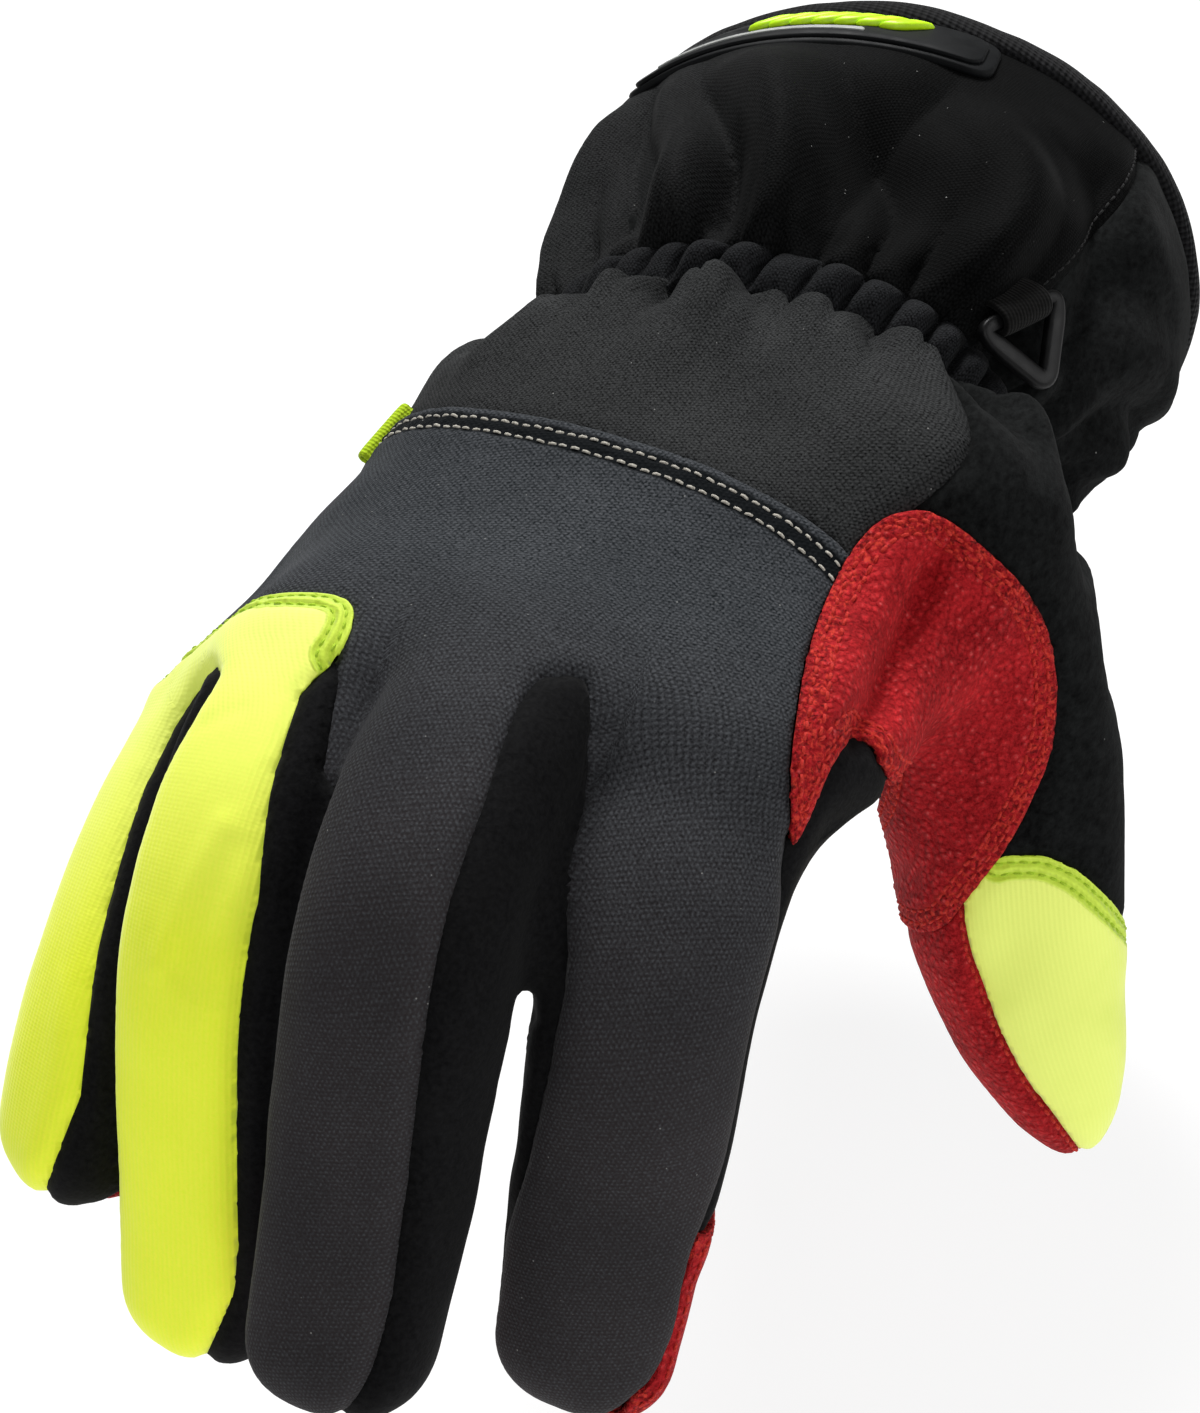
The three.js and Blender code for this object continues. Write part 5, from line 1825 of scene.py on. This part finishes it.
def make_lining():
    """The lining, seen through the cuff's opening: the glove's form, sunk into its wall."""
    form = lambda points: glove_distance(points) + LINING_DEPTH
    points, quads = surface_mesh(form, FORM_LOW, FORM_HIGH, LINING_GRID)
    quads = quads[(points[quads][:, :, 1] < LINING_START).all(1)]
    used, local = np.unique(quads, return_inverse=True)
    points = points[used]
    folds = np.minimum(LINING_RISE, wrist_folds(points))
    sunk = rumple(points, LINING_RUMPLE) + folds + dents(points)
    points = points + sunk[:, None] * unit(points * OUTWARD)
    piece = make_object("lining", points, local.reshape(-1, 4).tolist(), "lining_fleece", slot="side_fleece",
                        closed=False)
    give_thickness(piece, LINING_WALL)


# Hardware and tabs
def rounded_corners(corners, radius, steps=6, sides=0):
    """A closed line through corners, each cut by a smooth curve, with more points along the sides."""
    line = []
    count = len(corners)
    for i, corner in enumerate(corners):
        start = corner + unit(corners[i - 1] - corner) * radius
        end = corner + unit(corners[(i + 1) % count] - corner) * radius
        for t in np.linspace(0, 1, steps):
            line.append((1 - t) ** 2 * start + 2 * t * (1 - t) * corner + t**2 * end)
        ahead = corners[(i + 1) % count]
        stop = ahead + unit(corner - ahead) * radius
        for t in np.linspace(0, 1, sides + 2)[1:-1]:
            line.append(end + (stop - end) * t)
    return np.array(line)


def band_section(half, high, power, sides):
    """A rounded rectangle by its half sizes; the higher the power, the sharper its corners."""
    a = np.linspace(0, 2 * math.pi, sides, endpoint=False)
    c, s = np.cos(a), np.sin(a)
    across = half * np.sign(c) * np.abs(c) ** (2 / power)
    return np.stack([across, high * np.sign(s) * np.abs(s) ** (2 / power)], -1)


BAR_CENTRE = np.array((35.7, -69.5, 35.5))
BAR_ALONG = unit(np.array((0.53, 0.847, 0.02)))
RING_DOWN = np.array((0.52, -0.31, -0.8))
WEB_BACK = np.array((-0.83, 0.51, 0.225))
BAR_HALF = 9.2
RING_DROP = 13.0
RING_CORNER = 3.2
BAR_WIDE = 1.25
RING_WIDE = 1.75
RING_THICK = 1.1
RING_SQUARENESS = 3.2
RING_SIDES = 20
BAR_TO_SIDE = (1.0, 4.0)
WEB_HOLE = 1.55
WEB_WIDTH = 10.5
WEB_THICKNESS = 1.3
WEB_TAIL = 9.5
WEB_CLOSING = (6.5, 0.3)
WEB_GAP = 0.02
WEB_STEPS = 14
WEB_SQUARENESS = 5
WEB_SIDES = 28


def make_ring():
    """The triangle ring: a flat-sided moulded bar."""
    normal = unit(np.cross(BAR_ALONG, RING_DOWN))
    down = np.cross(normal, BAR_ALONG)
    places = ((-BAR_HALF, 0), (BAR_HALF, 0), (0, RING_DROP))
    corners = [BAR_CENTRE + BAR_ALONG * u + down * v for u, v in places]
    path = rounded_corners(corners, RING_CORNER, steps=9, sides=6)
    section = band_section(1.0, RING_THICK, RING_SQUARENESS, RING_SIDES)
    middle = sum(corners) / 3
    points = []
    for i, place in enumerate(path):
        ahead = unit(path[(i + 1) % len(path)] - path[i - 1])
        out = unit(np.cross(ahead, normal))
        out = out if out @ (place - middle) > 0 else -out
        wide = BAR_WIDE + (RING_WIDE - BAR_WIDE) * smooth_step(*BAR_TO_SIDE, (place - BAR_CENTRE) @ down)
        points.extend(place + out * u * wide + normal * v for u, v in section)
    faces = tube_faces(len(path), len(section), closed=True)
    make_object("clip_ring_body", points, faces, "ring_plastic", body="ring", node="clip_ring")


def webbing(name, path, side, width, thickness, material, node):
    """A band of webbing along a path, with soft edges."""
    path = np.asarray(path)
    section = band_section(width / 2, thickness / 2, WEB_SQUARENESS, WEB_SIDES)
    points = []
    cloth = []
    run = 0.0
    for i, place in enumerate(path):
        ahead = unit(path[min(i + 1, len(path) - 1)] - path[max(i - 1, 0)])
        up = unit(np.cross(ahead, side))
        across = np.cross(up, ahead)
        run += np.linalg.norm(place - path[i - 1]) if i else 0
        points.extend(place + across * u + up * v for u, v in section)
        cloth.extend((u, run, NO_SEAM) for u, v in section)
    faces = tube_faces(len(path), len(section))
    return make_object(name, points, faces, material, cloth=cloth, node=node)


def half_turn(radius, start, steps):
    """Points round the closed end of a folded band, from one layer to the other."""
    angles = np.linspace(start, math.pi - start, steps)
    return [(-radius * math.sin(a), radius * math.cos(a)) for a in angles]


def make_ring_loop():
    """Webbing folded round the ring's bar, its two layers flat together where they are sewn down."""
    back = unit(WEB_BACK - BAR_ALONG * (WEB_BACK @ BAR_ALONG))
    up = np.cross(BAR_ALONG, -back)
    reach = WEB_HOLE + WEB_THICKNESS / 2
    flat = WEB_THICKNESS / 2 + WEB_GAP
    upper = []
    for run in np.linspace(WEB_TAIL, 0, WEB_STEPS):
        rise = flat + (reach - flat) * smooth_step(*WEB_CLOSING, np.array(run))
        upper.append((run, float(rise)))
    turn = half_turn(reach, 0.2, WEB_STEPS)
    lower = [(run, -rise) for run, rise in reversed(upper)]
    path = [BAR_CENTRE + back * run + up * rise for run, rise in upper + turn + lower]
    webbing("ring_loop_webbing", path, BAR_ALONG, WEB_WIDTH, WEB_THICKNESS, "black_webbing", "ring_loop")


SIDE_TAB_AT = np.array((-56.9, -112.8, 15.5))
SIDE_TAB_OUT = unit(np.array((-0.86, 0.1, 0.45)))
SIDE_TAB_ALONG = np.array((-0.42, -0.88, -0.2))
SIDE_TAB_WIDTH = 12.4
SIDE_TAB_THICKNESS = 1.1
SIDE_TAB_RADIUS = 0.95
SIDE_TAB_NECK = 0.8
SIDE_TAB_ROOT = -5
SIDE_TAB_END = 1.6


def make_side_tab():
    """A short loop of lime webbing out of the seam on the little finger's side."""
    along = unit(SIDE_TAB_ALONG - SIDE_TAB_OUT * (SIDE_TAB_ALONG @ SIDE_TAB_OUT))
    up = np.cross(along, SIDE_TAB_OUT)
    rise = SIDE_TAB_RADIUS * SIDE_TAB_NECK
    turn = half_turn(SIDE_TAB_RADIUS, 0.3, 9)
    outline = [(run, rise) for run in np.linspace(SIDE_TAB_ROOT, SIDE_TAB_END, 8)]
    outline += [(SIDE_TAB_END - back, side) for back, side in turn]
    outline += [(run, -rise) for run in np.linspace(SIDE_TAB_END, SIDE_TAB_ROOT, 8)]
    path = [SIDE_TAB_AT + SIDE_TAB_OUT * run + up * side for run, side in outline]
    webbing("side_tab_webbing", path, along, SIDE_TAB_WIDTH, SIDE_TAB_THICKNESS, "lime_webbing", "side_tab")


def cuff_point(degrees, y, out):
    """A point on the cuff, by the angle from the middle of its back."""
    return ring_points(y, np.radians(np.atleast_1d(degrees)), out)[0]


# Millimetres round the cuff for each degree
CUFF_ARC = 0.97
PLATE_STEP = 1.2
PLATE_INSET = 2.5
PLATE_TOP = 1.03
LEAST_LENGTH = 1e-9
LEAST_SHARE = 0.05

# Rings of points from the foot of a plate to its top: size, inset, share of the thickness
PLATE_LEVELS = (
    (1.0, 0.0, 0.0), (1.0, 0.0, 0.35), (1.0, 0.25, 0.8), (1.0, 0.7, 1.0), (0.72, 0.7, 1.02),
    (0.4, 0.7, PLATE_TOP),
)


def plate_outline(wide, high, corner):
    """A rectangle with rounded corners as closely spaced points, by its half sizes."""
    corners = [np.array((u * wide, v * high)) for u, v in ((-1, -1), (1, -1), (1, 1), (-1, 1))]
    outline = rounded_corners(corners, corner)
    dense = []
    for i, p in enumerate(outline):
        q = outline[(i + 1) % len(outline)]
        count = max(1, int(np.linalg.norm(q - p) / PLATE_STEP))
        dense.extend(p + (q - p) * t / count for t in range(count))
    return dense


def curved_plate(name, centre, half, material, corner, base, thickness, slant=0.0, node=None, slot=None):
    """A plate with rounded corners and edges, bent onto the cuff. Half sizes are degrees and millimetres."""
    outline = plate_outline(half[0] * CUFF_ARC, half[1], corner)
    inner = min(half[1] * 0.8, PLATE_INSET)
    points = []
    for shrink, inset, rise in PLATE_LEVELS:
        for u, v in outline:
            length = math.hypot(u, v) + LEAST_LENGTH
            k = shrink * max(LEAST_SHARE, 1 - inset * min(thickness, inner) / length)
            angle = centre[0] + (u * k + slant * v * k) / CUFF_ARC
            points.append(cuff_point(angle, centre[1] + v * k, base + rise * thickness))
    points.append(cuff_point(centre[0], centre[1], base + thickness * PLATE_TOP))
    sides = len(outline)
    faces = tube_faces(len(PLATE_LEVELS), sides, capped=False)
    faces.append(tuple(reversed(range(sides))))
    last = (len(PLATE_LEVELS) - 1) * sides
    faces.extend((last + k, last + (k + 1) % sides, len(points) - 1) for k in range(sides))
    return make_object(name, points, faces, material, node=node, slot=slot)


# Places on the cuff: degrees round it and y
TAB_MIDDLE = (-18.0, -16.0)
TAB_HALF = (35.5, 6.9)
PATCH_HALF = (33.0, 5.5)
LINE_MIDDLE = (-25, -18.6)
LINE_HALF = (20, 0.6)
RIB_FROM = -22.0
RIB_TO = 1.0
RIB_COUNT = 7
RIB_Y = -14.6
RIB_HALF = (2.1, 2.3)
RIB_SLANT = 1.25


def make_pull_tab():
    """The rubber pull tab, its raised patch with a worn line, and slanting lime ribs."""
    curved_plate("pull_tab_backing", TAB_MIDDLE, TAB_HALF, "tab_rubber", corner=3.5, base=-0.3, thickness=1.3,
                 node="pull_tab")
    curved_plate("pull_tab_patch", TAB_MIDDLE, PATCH_HALF, "tab_rubber", corner=3.0, base=1.0, thickness=0.7,
                 slot="tab_rubber")
    curved_plate("pull_tab_line", LINE_MIDDLE, LINE_HALF, "worn_print", corner=0.5, base=1.55, thickness=0.35,
                 slot="tab_rubber")
    pitch = (RIB_TO - RIB_FROM) / (RIB_COUNT - 1)
    for i in range(RIB_COUNT):
        curved_plate(f"tab_rib_{i + 1}", (RIB_FROM + pitch * i, RIB_Y), RIB_HALF, "lime_rubber", corner=1.6,
                     base=1.5, thickness=1.3, slant=RIB_SLANT, node="tab_ribs" if i == 0 else None,
                     slot="lime_rubber")


def dress():
    panels = make_panels()
    make_stitches(panels)
    make_gathers()
    make_hem()
    make_lining()
    make_ring()
    make_ring_loop()
    make_side_tab()
    make_pull_tab()


# Stage
FLOOR_HALF = 3.0
FLOOR_HEIGHT = -0.14
FLOOR_COLOUR = (0.25, 0.25, 0.25)
FLOOR_ROUGHNESS = 0.9
FLOOR_GLOW = 0.82
WHITE = (1, 1, 1, 1)

# Lamps, in metres and watts: name, place, size, power
LAMPS_AIM = (-0.01, -0.13, 0.0)
LAMPS = (
    ("key", (-0.35, 0.5, 0.9), 0.35, 16),
    ("fill", (0.3, -0.95, 0.6), 0.8, 3.5),
    ("side", (0.9, 0.0, 0.45), 0.5, 2.5),
)
SKY_STRENGTH = 0.14


def set_stage():
    """A large pale floor that glows, as in a photograph on white."""
    floor = bpy.data.meshes.new("floor")
    sides = ((-1, -1), (1, -1), (1, 1), (-1, 1))
    corners = [(x * FLOOR_HALF, y * FLOOR_HALF, FLOOR_HEIGHT) for x, y in sides]
    floor.from_pydata(corners, [], [(0, 1, 2, 3)])
    pale = plain_material("floor", FLOOR_COLOUR, FLOOR_ROUGHNESS)
    shader = pale.node_tree.nodes["Principled BSDF"]
    shader.inputs["Emission Color"].default_value = WHITE
    shader.inputs["Emission Strength"].default_value = FLOOR_GLOW
    floor.materials.append(pale)
    obj = bpy.data.objects.new("floor", floor)
    bpy.context.scene.collection.objects.link(obj)


def area_light(name, place, size, power):
    """A square lamp that faces the glove."""
    data = bpy.data.lights.new(name, "AREA")
    data.size = size
    data.energy = power
    lamp = bpy.data.objects.new(name, data)
    lamp.location = place
    lamp.rotation_euler = (Vector(LAMPS_AIM) - Vector(place)).to_track_quat("-Z", "Y").to_euler()
    bpy.context.scene.collection.objects.link(lamp)


def set_lights():
    for row in LAMPS:
        area_light(*row)
    world = bpy.data.worlds.new("world")
    world.use_nodes = True
    sky = world.node_tree.nodes["Background"]
    sky.inputs["Color"].default_value = WHITE
    sky.inputs["Strength"].default_value = SKY_STRENGTH
    bpy.context.scene.world = world
    bpy.context.scene.view_settings.view_transform = "Standard"


# The camera of the photograph, fitted to the glove's outline
CAMERA_AZIMUTH = 19.0
CAMERA_ELEVATION = 40.5
CAMERA_ROLL = 1.0
CAMERA_DISTANCE = 0.42
CAMERA_TARGET = (-0.0171, -0.122, -0.0229)
FOCAL_PIXELS = 2500.0
IMAGE_HEIGHT = 1413.0
SENSOR = 36.0
CLIP_START = 0.01


def set_camera():
    """The photograph's own view."""
    a = math.radians(CAMERA_AZIMUTH)
    e = math.radians(CAMERA_ELEVATION)
    back = Vector((math.sin(a) * math.cos(e), -math.cos(a) * math.cos(e), math.sin(e)))
    right = Vector((math.cos(a), math.sin(a), 0))
    up = back.cross(right)
    r = math.radians(CAMERA_ROLL)
    x = right * math.cos(r) + up * math.sin(r)
    y = up * math.cos(r) - right * math.sin(r)
    data = bpy.data.cameras.new("camera")
    data.sensor_width = SENSOR
    data.sensor_height = SENSOR
    data.sensor_fit = "AUTO"
    data.lens = FOCAL_PIXELS * SENSOR / IMAGE_HEIGHT
    data.clip_start = CLIP_START
    camera = bpy.data.objects.new("camera", data)
    rotation = Matrix((x, y, back)).transposed().to_4x4()
    camera.matrix_world = Matrix.Translation(Vector(CAMERA_TARGET) + back * CAMERA_DISTANCE) @ rotation
    bpy.context.scene.collection.objects.link(camera)
    bpy.context.scene.camera = camera


set_camera()
set_stage()
set_lights()
dress()
